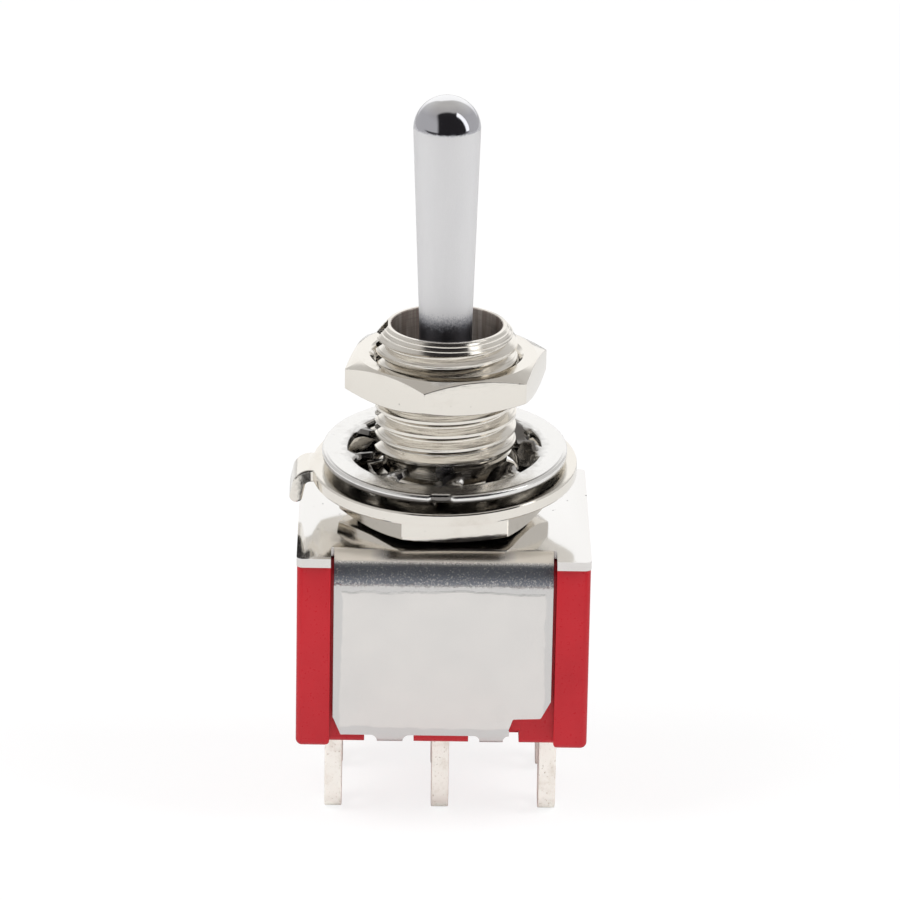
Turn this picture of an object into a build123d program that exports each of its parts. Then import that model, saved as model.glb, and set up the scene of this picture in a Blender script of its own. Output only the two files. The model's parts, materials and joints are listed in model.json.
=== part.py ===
from build123d import *
import os
from math import copysign, cos, pi, radians, sin, sqrt, tan

# Miniature double-pole panel toggle switch, three lever positions.
# Millimetres, +Z up. The origin is on the bushing's axis, level with the upper face of
# the sheet frame. +X is the way the lever throws and the way each row of lugs runs;
# the two poles lie side by side along Y.

# ---- frame (folded nickel-plated sheet) ----
FRAME_WIDTH = 12.70          # X
FRAME_DEPTH = 11.43          # Y
SHEET = 0.40
FLAP_HALF_WIDTH = 4.73
FLAP_FACE_Y = 5.50           # outer face of each flap
BEND_RADIUS = 1.20           # outside of the fold
FLAP_BOTTOM_Z = -8.25
RELIEF_GAP = 0.14            # slit between a flap and the plate's ears
EAR_ROUND = 0.30
LEFT_CORNER = ((-4.73, -7.42), (-4.38, -8.25))
RIGHT_CORNER = ((4.73, -6.60), (4.30, -7.41), (3.10, -7.45), (2.82, -8.25))
CORNER_ROUND = 0.10
CRIMP_TABS = ((-2.80, -1.68, 0.30), (1.66, 2.68, 0.26))   # left and right side, root round
TAB_SHEET = 0.34             # drawn thinner by the crimp
TAB_FOLD_RADIUS = 0.42       # outside of the crimp fold
TAB_REACH = 0.62             # how far a crimped tab runs in under the case

# ---- case (moulded red plastic) ----
CASE_HALF_WIDTH = 6.33
CASE_FACE_Y = 5.60           # face of the corner rails
RECESS_FACE_Y = 5.06         # face that the flaps lie on
RAIL_INNER_X = 4.87
CASE_BOTTOM_Z = -8.80
FLOOR_Z = -7.20              # inside
WELL_HALF_WIDTH = 5.45
WELL_INNER_Y = 0.45
WELL_OUTER_Y = 4.35
BARRIER_TOP_Z = -4.95
CASE_ROUND = 0.28
TAB_NOTCH_TOP_Z = -8.15
TAB_NOTCH_DEPTH = 1.30
TAB_NOTCHES = ((-3.35, -1.20), (1.18, 3.38))
FOLD_CLEARANCE = 0.04        # case's top edge to the inside of the frame's fold
FOLD_SEAT_Z = -1.50          # where the recessed faces start

# ---- terminals ----
TERMINAL_PITCH = 4.70        # X
POLE_PITCH = 4.83            # Y
LUG_THICKNESS = 0.76
LUG_WIDTH = 2.03
LUG_TIP_Z = -12.87
EYELET_RADIUS = 0.60
PAD_LENGTH = 1.70
PAD_WIDTH = 2.40
PAD_THICKNESS = 0.35
CONTACT_RADIUS = 0.75
CONTACT_CROWN = 0.50         # radius of the flat on top
CONTACT_RIM = 0.12           # height of the plain edge
CONTACT_HEIGHT = 0.28
FULCRUM_CLEARANCE = 0.03

# ---- bushing and lever ----
THREAD_RADIUS = 3.10         # crest of the 1/4-40 thread
THREAD_ROOT = 2.78
THREAD_PITCH = 0.635
FRONT_CREST_Z = 5.30         # a crest, as it runs past the front
SHOWN_CRESTS = (-3, 5)       # counted from that one: each has a groove above it
LEAD_CREST = (2.98, 8.35)    # last crest, cut down by the cone that leads a nut on
MOUTH_RADIUS = 2.62          # outside of the rim, at the top of that cone
BUSHING_TOP_Z = 8.80
BORE_RADIUS = 2.415
FLANGE_RADIUS = 3.90
FLANGE_THICKNESS = 0.60
SPIGOT_RADIUS = 3.00         # through the frame
KEYWAY_WIDTH = 0.80
KEYWAY_FLOOR = 2.55
PIVOT_Z = 3.00
PIN_RADIUS = 0.40
PIN_HALF_LENGTH = 2.95
RUNNING_CLEARANCE = 0.03
LEVER_SWING = 11.5           # degrees each way
DOME_RADIUS = 1.456
DOME_Z = 17.64
NECK_RADIUS = 1.155
TAPER = ((NECK_RADIUS, 5.9), (NECK_RADIUS, 8.8), (1.29, 14.0))
BALL_RADIUS = 2.20
BALL_ARC = 38.0              # degrees of the ball kept above and below its equator
BALL_BANDS = 2               # turned as cones
WAIST_RADIUS = 1.00
WAIST_TAPER = 0.75           # length of the cone from waist to ball
STEM_SHOULDER = 0.15
STEM_RADIUS = 0.80
STEM_SOCKET = 2.10           # how far the stem is pressed into the actuator

# ---- actuator, plungers, springs and rockers ----
ACTUATOR_TOP_Z = -1.50
ACTUATOR_BOTTOM_Z = -4.60
ACTUATOR_HALF_WIDTH = 1.00
ACTUATOR_HALF_LENGTH = 3.50
ACTUATOR_ROUND = 0.40
ACTUATOR_CHAMFER = 0.20
PLUNGER_RADIUS = 0.65
PLUNGER_BORE_RADIUS = 0.70
PLUNGER_BORE_TOP_Z = -1.90
PLUNGER_TOP_Z = -3.70
TIP_RADIUS = 0.60
TIP_CENTRE_Z = -4.75
NOSE_ARC = 62.0              # degrees of the nose's round, from its tip
NOSE_BANDS = 3               # turned as narrow cones
SPRING_SPIGOT_RADIUS = 0.30   # spigot that centres the spring
SPRING_SPIGOT_LENGTH = 0.40
COIL_RADIUS = 0.46
WIRE_RADIUS = 0.09
COIL_TURNS = 4.5
COIL_SIDES = 10              # straight runs to a turn
ROCKER_SWING = 5.5           # degrees, at the lever's limit
ROCKER_GAP = 0.04            # plunger tip to blade
ROCKER_THICKNESS = 0.30
ROCKER_WIDTH = 2.40
ROCKER_EAR = 0.25
ROCKER_EAR_HALF_LENGTH = 0.85
ROCKER_EAR_DROP = 0.42       # below the pivot
EAR_TO_VALLEY = 0.05
KNEE = 0.35                  # flat beside the valley, above and below
KNEE_UNDER = 0.25
ARM_STEP = 0.10
ROCKER_PIVOT_Z = -6.09
SHOULDER_X = 1.90
ARM_FLAT_X = 4.10
ARM_END_X = 5.20
CLOSED_GAP = 0.03            # blade to contact at the limit

# ---- nuts and washers ----
NUT_FLATS = 8.00
NUT_THICKNESS = 1.55
NUT_CHAMFER_RADIUS = 3.90
NUT_CHAMFER_ANGLE = 25.0
NUT_BORE_RADIUS = 3.16
NUT_SINK = 0.20
UPPER_NUT_Z = 5.94
UPPER_NUT_TURN = 18.0        # degrees, plan angle of one corner
LOWER_NUT_TURN = 6.6
RING_RADIUS = 5.80
RING_BORE = 3.22
RING_THICKNESS = 0.56
RING_Z = 1.92                # underside, on the bushing's axis
RING_LEAN = (3.4, -1.2)      # degrees about X and Y: loose, it rests raised at the rear
RING_TONGUE_WIDTH = 0.66
RING_TONGUE_TIP = 2.60
RING_TAB_HALF_WIDTH = 1.00
RING_TAB_BEND_X = -5.85
RING_TAB_RADIUS = 0.80       # outside of the bend
RING_TAB_ANGLE = 77.0
RING_TAB_LEG = 0.65
RING_TAB_ROUND = 0.20        # how far the tab's rounded end stands past its leg
RING_TAB_ROOT = 0.50         # how far the tab's root runs into the ring
WASHER_RADIUS = 5.35
WASHER_INNER = 4.20
WASHER_THICKNESS = 0.40
WASHER_Z = 2.76              # underside, on the bushing's axis
WASHER_LEAN = (3.7, -0.7)
TEETH = 9
FIRST_TOOTH = -88.0          # degrees, plan angle
TOOTH_TIP_RADIUS = 3.22
TOOTH_WIDTH = 1.28
TOOTH_THICKNESS = 0.30
TOOTH_TAPER = 0.90           # width at the tip over width at the root
TOOTH_TWIST = 28.0
TOOTH_GAP = 0.12             # blade to the rim, bridged by the neck
NECK_SHARE = 0.55            # neck's width over the blade's
WASHER_BEVEL = 0.08

NUT_CORNER = NUT_FLATS / sqrt(3)
POLES = {"front": -POLE_PITCH / 2, "rear": POLE_PITCH / 2}
THROWS = {"left": -TERMINAL_PITCH, "right": TERMINAL_PITCH}


def block(x0, x1, y0, y1, z0, z1):
    """A box between two opposite corners, given in either order."""
    centre = ((x0 + x1) / 2, (y0 + y1) / 2, (z0 + z1) / 2)
    return Pos(*centre) * Box(abs(x1 - x0), abs(y1 - y0), abs(z1 - z0))


def rod(radius, z0, z1, x=0.0, y=0.0):
    """An upright cylinder."""
    return Pos(x, y, (z0 + z1) / 2) * Cylinder(radius, z1 - z0)


def cross_rod(radius, y0, y1, x=0.0, z=0.0):
    """A cylinder along Y."""
    return Pos(x, (y0 + y1) / 2, z) * Rot(90, 0, 0) * Cylinder(radius, y1 - y0)


def turned(points):
    """A solid of revolution about Z from (radius, z) corners."""
    return revolve(Plane.XZ * make_face(Polyline(*points, close=True)), Axis.Z)


def side_profile(curve, y0, y1):
    """An (x, z) outline given a thickness along Y."""
    face = Plane.XZ * make_face(curve)
    return Pos(0, y1, 0) * extrude(face, y1 - y0)


# ---- frame ----
def flap():
    """The front flap: fold, panel with its cut corners, and two crimped tabs."""
    fold_y, fold_z = FLAP_FACE_Y - BEND_RADIUS, -BEND_RADIUS
    inner = BEND_RADIUS - SHEET
    outline = (
        Line((fold_y, 0), (fold_y, -SHEET))
        + CenterArc((fold_y, fold_z), inner, 90, -90)
        + Line((fold_y + inner, fold_z), (fold_y + inner, FLAP_BOTTOM_Z))
        + Line((fold_y + inner, FLAP_BOTTOM_Z), (FLAP_FACE_Y, FLAP_BOTTOM_Z))
        + Line((FLAP_FACE_Y, FLAP_BOTTOM_Z), (FLAP_FACE_Y, fold_z))
        + CenterArc((fold_y, fold_z), BEND_RADIUS, 0, 90)
    )
    sheet = extrude(Plane.YZ * make_face(outline), FLAP_HALF_WIDTH, both=True)
    sheet = mirror(sheet, Plane.XZ)
    for corners in (LEFT_CORNER, RIGHT_CORNER):
        outside = (copysign(FLAP_HALF_WIDTH + 1, corners[0][0]), FLAP_BOTTOM_Z - 1)
        curve = Polyline(
            (outside[0], corners[0][1]), *corners, (corners[-1][0], outside[1]), outside, close=True
        )
        cut = side_profile(curve, -FLAP_FACE_Y - 0.1, -FLAP_FACE_Y + SHEET + 0.1)
        sheet -= fillet(cut.edges().filter_by(Axis.Y), CORNER_ROUND)
    for left, right, root_round in CRIMP_TABS:
        sheet += crimped_tab(left, right, root_round)
    return sheet


def crimped_tab(left, right, root_round):
    """A tab that leaves the flap's lower edge and folds in under the case."""
    face_y, radius = FLAP_FACE_Y, TAB_FOLD_RADIUS
    inner = radius - TAB_SHEET
    top, bottom = FLAP_BOTTOM_Z + root_round, FLAP_BOTTOM_Z - radius
    fold_y = face_y - radius
    end_y = fold_y - TAB_REACH
    outline = (
        Polyline((face_y - TAB_SHEET, FLAP_BOTTOM_Z), (face_y - TAB_SHEET, top), (face_y, top),
                 (face_y, FLAP_BOTTOM_Z))
        + CenterArc((fold_y, FLAP_BOTTOM_Z), radius, 0, -90)
        + Polyline((fold_y, bottom), (end_y, bottom), (end_y, bottom + TAB_SHEET),
                   (fold_y, bottom + TAB_SHEET))
        + CenterArc((fold_y, FLAP_BOTTOM_Z), inner, -90, 90)
    )
    strip = mirror(extrude(Plane.YZ * make_face(outline), FLAP_HALF_WIDTH, both=True), Plane.XZ)
    low, r = FLAP_BOTTOM_Z - root_round, root_round
    swell = r * (1 - cos(radians(45)))
    shape = (
        Polyline((right + r, top), (left - r, top), (left - r, low + r))
        + ThreePointArc((left - r, low + r), (left - swell, low + r - swell), (left, low))
        + Polyline((left, low), (left, bottom - 1), (right, bottom - 1), (right, low))
        + ThreePointArc((right, low), (right + swell, low + r - swell), (right + r, low + r))
        + Line((right + r, low + r), (right + r, top))
    )
    return strip & side_profile(shape, -face_y - 0.1, -end_y + 0.1)


def frame():
    """Top plate with four ears, and a flap folded down at the front and the rear."""
    plate = extrude(RectangleRounded(FRAME_WIDTH, FRAME_DEPTH, EAR_ROUND), -SHEET)
    fold_y = FLAP_FACE_Y - BEND_RADIUS
    reach = FLAP_HALF_WIDTH + RELIEF_GAP
    for side in (-1, 1):
        plate -= block(-reach, reach, side * fold_y, side * FRAME_DEPTH, -1, 1)
    front = flap()
    plate = plate + front + Rot(0, 0, 180) * front
    return plate - rod(SPIGOT_RADIUS, -1, 1)


# ---- case ----
def case():
    """Open-topped case: corner rails, recessed faces, two pole wells and their barrier."""
    top = -SHEET
    body = block(-CASE_HALF_WIDTH, CASE_HALF_WIDTH, -CASE_FACE_Y, CASE_FACE_Y, CASE_BOTTOM_Z, top)
    body = fillet(body.edges().filter_by(Axis.Z), CASE_ROUND)
    for side in (-1, 1):
        face, beyond = side * RECESS_FACE_Y, side * (CASE_FACE_Y + 1)
        body -= block(-RAIL_INNER_X, RAIL_INNER_X, face, beyond, CASE_BOTTOM_Z - 1, top + 1)
        # clears the inside of the frame's fold
        fold = side * (FLAP_FACE_Y - BEND_RADIUS)
        body -= block(-RAIL_INNER_X, RAIL_INNER_X, fold, beyond, FOLD_SEAT_Z, top)
        body += fold_filler(side)
    body = fillet(body.faces().sort_by(Axis.Z)[0].edges(), CASE_ROUND)
    for side in (-1, 1):
        for x0, x1 in TAB_NOTCHES:
            inside, beyond = side * (RECESS_FACE_Y - TAB_NOTCH_DEPTH), side * (CASE_FACE_Y + 1)
            body -= block(
                -side * x0, -side * x1, inside, beyond, CASE_BOTTOM_Z - 1, TAB_NOTCH_TOP_Z
            )
        near, far = side * WELL_INNER_Y, side * WELL_OUTER_Y
        body -= block(-WELL_HALF_WIDTH, WELL_HALF_WIDTH, near, far, FLOOR_Z, top + 1)
    body -= block(
        -WELL_HALF_WIDTH, WELL_HALF_WIDTH, -WELL_INNER_Y, WELL_INNER_Y, BARRIER_TOP_Z, top + 1
    )
    for pole_y in POLES.values():
        for x in (-TERMINAL_PITCH, 0, TERMINAL_PITCH):
            body -= blade_block(x, pole_y, CASE_BOTTOM_Z - 1, FLOOR_Z + 1)
    return body


def fold_filler(side):
    """The case's rounded top edge, which fills the inside of the frame's fold."""
    radius = BEND_RADIUS - SHEET - FOLD_CLEARANCE
    fold = FLAP_FACE_Y - BEND_RADIUS
    near, far = side * fold, side * (fold + radius)
    bar = Pos(0, near, -BEND_RADIUS) * Rot(0, 90, 0) * Cylinder(radius, 2 * RAIL_INNER_X)
    upper = bar & block(-RAIL_INNER_X, RAIL_INNER_X, near, far, -BEND_RADIUS, -SHEET)
    return upper + block(-RAIL_INNER_X, RAIL_INNER_X, near, far, FOLD_SEAT_Z, -BEND_RADIUS)


# ---- terminals ----
def blade_block(x, y, z0, z1):
    """A terminal's plain rectangular section."""
    return block(
        x - LUG_THICKNESS / 2, x + LUG_THICKNESS / 2, y - LUG_WIDTH / 2, y + LUG_WIDTH / 2, z0, z1
    )


def lug(x, y, top_z):
    """Solder lug: flat blade with a round end and an eyelet."""
    end_z = LUG_TIP_Z + LUG_WIDTH / 2
    disc = Pos(x, y, end_z) * Rot(0, 90, 0) * Cylinder(LUG_WIDTH / 2, LUG_THICKNESS)
    eyelet = Pos(x, y, end_z) * Rot(0, 90, 0) * Cylinder(EYELET_RADIUS, 2 * LUG_THICKNESS)
    return blade_block(x, y, end_z, top_z) + disc - eyelet


def end_terminal(x, y):
    """Lug with a contact pad that lies on the case's floor, reaching towards the middle."""
    pad_x = x - (PAD_LENGTH - LUG_THICKNESS) / 4 * (1 if x > 0 else -1)
    pad = block(
        pad_x - PAD_LENGTH / 2, pad_x + PAD_LENGTH / 2,
        y - PAD_WIDTH / 2, y + PAD_WIDTH / 2, FLOOR_Z, FLOOR_Z + PAD_THICKNESS,
    )
    return lug(x, y, FLOOR_Z) + pad


def centre_terminal(y):
    """Lug whose blade runs on up to a rounded edge, the fulcrum of the rocker."""
    radius = LUG_THICKNESS / 2
    edge = cross_rod(radius, y - LUG_WIDTH / 2, y + LUG_WIDTH / 2, z=ROCKER_PIVOT_Z)
    return lug(0, y, ROCKER_PIVOT_Z) + edge


def contact_button(x, y):
    """Coned silver rivet head on an end terminal's pad."""
    z = FLOOR_Z + PAD_THICKNESS
    head = turned((
        (0, z), (CONTACT_RADIUS, z), (CONTACT_RADIUS, z + CONTACT_RIM),
        (CONTACT_CROWN, z + CONTACT_HEIGHT), (0, z + CONTACT_HEIGHT),
    ))
    return Pos(x, y, 0) * head


# ---- bushing, lever and pin ----
def thread_profile():
    """(radius, z) of the crests and roots where the thread shows, as rings of its pitch."""
    points = []
    for k in range(*SHOWN_CRESTS):
        crest = FRONT_CREST_Z + k * THREAD_PITCH
        points.append((THREAD_RADIUS, crest))
        points.append((THREAD_ROOT, crest + THREAD_PITCH / 2))
    return points


def bushing():
    """Turned bushing: flange, spigot, ringed thread, lead cone, bore, keyway and pin hole."""
    shell = turned((
        (BORE_RADIUS, -SHEET - FLANGE_THICKNESS),
        (FLANGE_RADIUS, -SHEET - FLANGE_THICKNESS),
        (FLANGE_RADIUS, -SHEET),
        (SPIGOT_RADIUS, -SHEET),
        (SPIGOT_RADIUS, 0),
        (THREAD_RADIUS, 0),
        *thread_profile(),
        LEAD_CREST,
        (MOUTH_RADIUS, BUSHING_TOP_Z),
        (BORE_RADIUS, BUSHING_TOP_Z),
    ))
    keyway = block(
        -THREAD_RADIUS - 1, -KEYWAY_FLOOR, -KEYWAY_WIDTH / 2, KEYWAY_WIDTH / 2,
        0, BUSHING_TOP_Z + 1,
    )
    pin_hole = cross_rod(PIN_RADIUS, -THREAD_RADIUS - 1, THREAD_RADIUS + 1, z=PIVOT_Z)
    return shell - keyway - pin_hole


def lever():
    """Lever: domed bat handle with a slight flare, pivot ball and stem, drilled for its pin."""
    stem_end = ACTUATOR_TOP_Z - STEM_SOCKET
    bands = [radians(BALL_ARC * (2 * k / BALL_BANDS - 1)) for k in range(BALL_BANDS + 1)]
    ball = [(BALL_RADIUS * cos(a), PIVOT_Z + BALL_RADIUS * sin(a)) for a in bands]
    outline = (
        Polyline(
            (0, stem_end), (STEM_RADIUS, stem_end), (STEM_RADIUS, ACTUATOR_TOP_Z),
            (WAIST_RADIUS, ACTUATOR_TOP_Z + STEM_SHOULDER),
            (WAIST_RADIUS, ball[0][1] - WAIST_TAPER), *ball, *TAPER, (DOME_RADIUS, DOME_Z),
        )
        + CenterArc((0, DOME_Z), DOME_RADIUS, 0, 90)
        + Line((0, DOME_Z + DOME_RADIUS), (0, stem_end))
    )
    body = revolve(Plane.XZ * make_face(outline), Axis.Z)
    hole = cross_rod(PIN_RADIUS + RUNNING_CLEARANCE, -BALL_RADIUS - 1, BALL_RADIUS + 1, z=PIVOT_Z)
    return body - hole


def pivot_pin():
    return cross_rod(PIN_RADIUS, -PIN_HALF_LENGTH, PIN_HALF_LENGTH, z=PIVOT_Z)


# ---- mechanism in the case ----
def actuator():
    """Moulded carrier on the lever's stem, with a blind bore over each pole."""
    body = block(
        -ACTUATOR_HALF_WIDTH, ACTUATOR_HALF_WIDTH,
        -ACTUATOR_HALF_LENGTH, ACTUATOR_HALF_LENGTH, ACTUATOR_BOTTOM_Z, ACTUATOR_TOP_Z,
    )
    body = fillet(body.edges().filter_by(Axis.Z), ACTUATOR_ROUND)
    body = chamfer(body.faces().sort_by(Axis.Z)[-1].edges(), ACTUATOR_CHAMFER)
    body -= rod(STEM_RADIUS, ACTUATOR_TOP_Z - STEM_SOCKET, 0)
    for y in POLES.values():
        body -= rod(PLUNGER_BORE_RADIUS, ACTUATOR_BOTTOM_Z - 1, PLUNGER_BORE_TOP_Z, y=y)
    return body


def plunger(y):
    """Pin with a spring spigot above and a round nose below, tapered where they meet."""
    bands = [radians(NOSE_ARC * (k + 0.5) / (NOSE_BANDS + 0.5)) for k in range(NOSE_BANDS + 1)]
    nose = [(TIP_RADIUS * sin(a), TIP_CENTRE_Z - TIP_RADIUS * cos(a)) for a in bands]
    edge = nose[-1]
    shoulder = edge[1] + (PLUNGER_RADIUS - edge[0]) / tan(pi / 2 - bands[-1])
    head = PLUNGER_TOP_Z + SPRING_SPIGOT_LENGTH
    return Pos(0, y, 0) * turned((
        (0, nose[0][1]), *nose, (PLUNGER_RADIUS, shoulder), (PLUNGER_RADIUS, PLUNGER_TOP_Z),
        (SPRING_SPIGOT_RADIUS, PLUNGER_TOP_Z), (SPRING_SPIGOT_RADIUS, head), (0, head),
    ))


def spring(y):
    """Compression spring between a plunger's head and the top of its bore."""
    low = PLUNGER_TOP_Z + WIRE_RADIUS
    height = PLUNGER_BORE_TOP_Z - WIRE_RADIUS - low
    steps = round(COIL_TURNS * COIL_SIDES)
    turn = 2 * pi / COIL_SIDES
    points = [
        (COIL_RADIUS * cos(k * turn), COIL_RADIUS * sin(k * turn), low + height * k / steps)
        for k in range(steps + 1)
    ]
    path = Polyline(*points)
    section = Plane(path @ 0, z_dir=path % 0) * RegularPolygon(WIRE_RADIUS, 6)
    return Pos(0, y, 0) * sweep(section, path, transition=Transition.RIGHT)


def rocker(y):
    """Formed contact blade: centre valley for the plunger, two arms, and two side ears
    whose notches ride on the centre terminal's rounded edge."""
    valley, low_z = valley_radius()
    centre_z = low_z + valley
    under = valley + ROCKER_THICKNESS
    top_z = centre_z - sqrt(valley**2 - SHOULDER_X**2)
    under_z = centre_z - sqrt(under**2 - SHOULDER_X**2)
    flat = FLOOR_Z + PAD_THICKNESS + CONTACT_HEIGHT + CLOSED_GAP
    flat += TERMINAL_PITCH * sin(radians(ROCKER_SWING))
    flat_top = flat + ROCKER_THICKNESS
    outline = (
        ThreePointArc((-SHOULDER_X, top_z), (0, low_z), (SHOULDER_X, top_z))
        + Polyline((SHOULDER_X, top_z), (SHOULDER_X + KNEE, top_z), (ARM_FLAT_X, flat_top),
                   (ARM_END_X, flat_top), (ARM_END_X, flat), (ARM_FLAT_X - ARM_STEP, flat),
                   (SHOULDER_X + KNEE_UNDER, under_z), (SHOULDER_X, under_z))
        + ThreePointArc((SHOULDER_X, under_z), (0, low_z - ROCKER_THICKNESS),
                        (-SHOULDER_X, under_z))
        + Polyline((-SHOULDER_X, under_z), (-SHOULDER_X - KNEE_UNDER, under_z),
                   (-ARM_FLAT_X + ARM_STEP, flat), (-ARM_END_X, flat), (-ARM_END_X, flat_top),
                   (-ARM_FLAT_X, flat_top), (-SHOULDER_X - KNEE, top_z), (-SHOULDER_X, top_z))
    )
    half = ROCKER_WIDTH / 2
    blade = side_profile(outline, -half, half)
    for y0, y1 in ((-half, -half + ROCKER_EAR), (half - ROCKER_EAR, half)):
        blade += rocker_ear(y0, y1, low_z)
    return Pos(0, y, 0) * blade


def rocker_ear(y0, y1, low_z):
    """Side ear with a flared notch over the fulcrum's edge."""
    low, high = ROCKER_PIVOT_Z - ROCKER_EAR_DROP, low_z - EAR_TO_VALLEY
    radius = LUG_THICKNESS / 2 + FULCRUM_CLEARANCE
    ear = block(-ROCKER_EAR_HALF_LENGTH, ROCKER_EAR_HALF_LENGTH, y0, y1, low, high)
    beyond = 2 * ROCKER_EAR_DROP
    mouth = radius + beyond * tan(radians(ROCKER_SWING + 1))
    slot = Polyline(
        (-radius, ROCKER_PIVOT_Z), (radius, ROCKER_PIVOT_Z),
        (mouth, ROCKER_PIVOT_Z - beyond), (-mouth, ROCKER_PIVOT_Z - beyond), close=True,
    )
    ear -= cross_rod(radius, y0 - 1, y1 + 1, z=ROCKER_PIVOT_Z)
    return ear - side_profile(slot, y0 - 1, y1 + 1)


def valley_radius():
    """Radius and lowest Z of the blade's valley, so that the plunger's nose keeps its gap
    from centre to limit while lever and rocker turn together."""
    swing, tilt = radians(LEVER_SWING), radians(ROCKER_SWING)
    arm = PIVOT_Z - TIP_CENTRE_Z
    x, z = -arm * sin(swing), PIVOT_Z - arm * cos(swing) - ROCKER_PIVOT_Z
    along = x * cos(tilt) + z * sin(tilt)
    rise = -x * sin(tilt) + z * cos(tilt) - (TIP_CENTRE_Z - ROCKER_PIVOT_Z)
    path = (along**2 + rise**2) / (2 * rise)
    return path + TIP_RADIUS + ROCKER_GAP, TIP_CENTRE_Z - TIP_RADIUS - ROCKER_GAP


# ---- nuts and washers ----
def hex_nut(z, turn):
    """Thin hexagon nut, chamfered on both faces and countersunk at both ends."""
    prism = extrude(RegularPolygon(NUT_CORNER, 6), NUT_THICKNESS)
    reach = NUT_CORNER + 1
    rise = (reach - NUT_CHAMFER_RADIUS) * tan(radians(NUT_CHAMFER_ANGLE))
    envelope = turned((
        (0, 0), (NUT_CHAMFER_RADIUS, 0), (reach, rise), (reach, NUT_THICKNESS - rise),
        (NUT_CHAMFER_RADIUS, NUT_THICKNESS), (0, NUT_THICKNESS),
    ))
    bore = turned((
        (0, 0), (NUT_BORE_RADIUS + NUT_SINK, 0), (NUT_BORE_RADIUS, NUT_SINK),
        (NUT_BORE_RADIUS, NUT_THICKNESS - NUT_SINK),
        (NUT_BORE_RADIUS + NUT_SINK, NUT_THICKNESS), (0, NUT_THICKNESS),
    ))
    return Pos(0, 0, z) * Rot(0, 0, turn) * ((prism & envelope) - bore)


def locking_ring():
    """Keyed ring: tongue in the bushing's keyway, and a tab bent down at its rim."""
    ring = rod(RING_RADIUS, 0, RING_THICKNESS) - rod(RING_BORE, -1, RING_THICKNESS + 1)
    half = RING_TONGUE_WIDTH / 2
    root_x = -(RING_RADIUS + RING_BORE) / 2
    ring += block(root_x, -RING_TONGUE_TIP, -half, half, 0, RING_THICKNESS)
    outer, inner = RING_TAB_RADIUS, RING_TAB_RADIUS - RING_THICKNESS
    bend = (RING_TAB_BEND_X, RING_THICKNESS - outer)
    angle = radians(RING_TAB_ANGLE)
    start = (bend[0] - outer * sin(angle), bend[1] + outer * cos(angle))
    finish = (bend[0] - inner * sin(angle), bend[1] + inner * cos(angle))
    start_low = along_tab(start, RING_TAB_LEG)
    finish_low = along_tab(finish, RING_TAB_LEG)
    middle = ((start[0] + finish[0]) / 2, (start[1] + finish[1]) / 2)
    tip = along_tab(middle, RING_TAB_LEG + RING_TAB_ROUND)
    root = -RING_RADIUS + RING_TAB_ROOT
    outline = (
        Polyline((bend[0], 0), (root, 0), (root, RING_THICKNESS), (bend[0], RING_THICKNESS))
        + CenterArc(bend, outer, 90, RING_TAB_ANGLE)
        + Line(start, start_low)
        + ThreePointArc(start_low, tip, finish_low)
        + Line(finish_low, finish)
        + CenterArc(bend, inner, 90 + RING_TAB_ANGLE, -RING_TAB_ANGLE)
    )
    ring += side_profile(outline, -RING_TAB_HALF_WIDTH, RING_TAB_HALF_WIDTH)
    return Pos(0, 0, RING_Z) * Rot(*RING_LEAN, 0) * ring


def along_tab(point, length):
    """A point moved down the tab's leg."""
    angle = radians(RING_TAB_ANGLE)
    return (point[0] - length * cos(angle), point[1] - length * sin(angle))


def lock_washer():
    """Internal-tooth lock washer: each tooth is a blade twisted on a narrow neck."""
    bevel, high = WASHER_BEVEL, WASHER_THICKNESS
    washer = turned((
        (WASHER_INNER, 0), (WASHER_RADIUS, 0), (WASHER_RADIUS, high - bevel),
        (WASHER_RADIUS - bevel, high), (WASHER_INNER, high),
    ))
    half, thick = TOOTH_WIDTH / 2, TOOTH_THICKNESS / 2
    root = WASHER_INNER - TOOTH_GAP
    blade = extrude(
        Polygon((root, -half), (root, half), (TOOTH_TIP_RADIUS, half * TOOTH_TAPER),
                (TOOTH_TIP_RADIUS, -half * TOOTH_TAPER), align=None),
        thick, both=True,
    )
    neck_half = half * NECK_SHARE
    neck = block(root - TOOTH_GAP, WASHER_INNER + TOOTH_GAP, -neck_half, neck_half, -thick, thick)
    tooth = Pos(0, 0, high / 2) * (Rot(TOOTH_TWIST, 0, 0) * blade + neck)
    for k in range(TEETH):
        washer += Rot(0, 0, FIRST_TOOTH + 360 * k / TEETH) * tooth
    return Pos(0, 0, WASHER_Z) * Rot(*WASHER_LEAN, 0) * washer


def build_parts():
    parts = {
        "frame": frame(),
        "case": case(),
        "bushing": bushing(),
        "pivot_pin": pivot_pin(),
        "lever": lever(),
        "actuator": actuator(),
        "upper_nut": hex_nut(UPPER_NUT_Z, UPPER_NUT_TURN),
        "lower_nut": hex_nut(0, LOWER_NUT_TURN),
        "locking_ring": locking_ring(),
        "lock_washer": lock_washer(),
    }
    for pole, y in POLES.items():
        parts[f"plunger_{pole}"] = plunger(y)
        parts[f"spring_{pole}"] = spring(y)
        parts[f"rocker_{pole}"] = rocker(y)
        parts[f"terminal_{pole}_centre"] = centre_terminal(y)
        for throw, x in THROWS.items():
            parts[f"terminal_{pole}_{throw}"] = end_terminal(x, y)
            parts[f"contact_{pole}_{throw}"] = contact_button(x, y)
    return parts


os.makedirs("parts", exist_ok=True)
for name, solid in build_parts().items():
    export_step(solid, f"parts/{name}.step")
    print(name, round(solid.volume, 3))
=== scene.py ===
import json
import math

import bmesh
import bpy
from mathutils import Matrix, Quaternion, Vector

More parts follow.
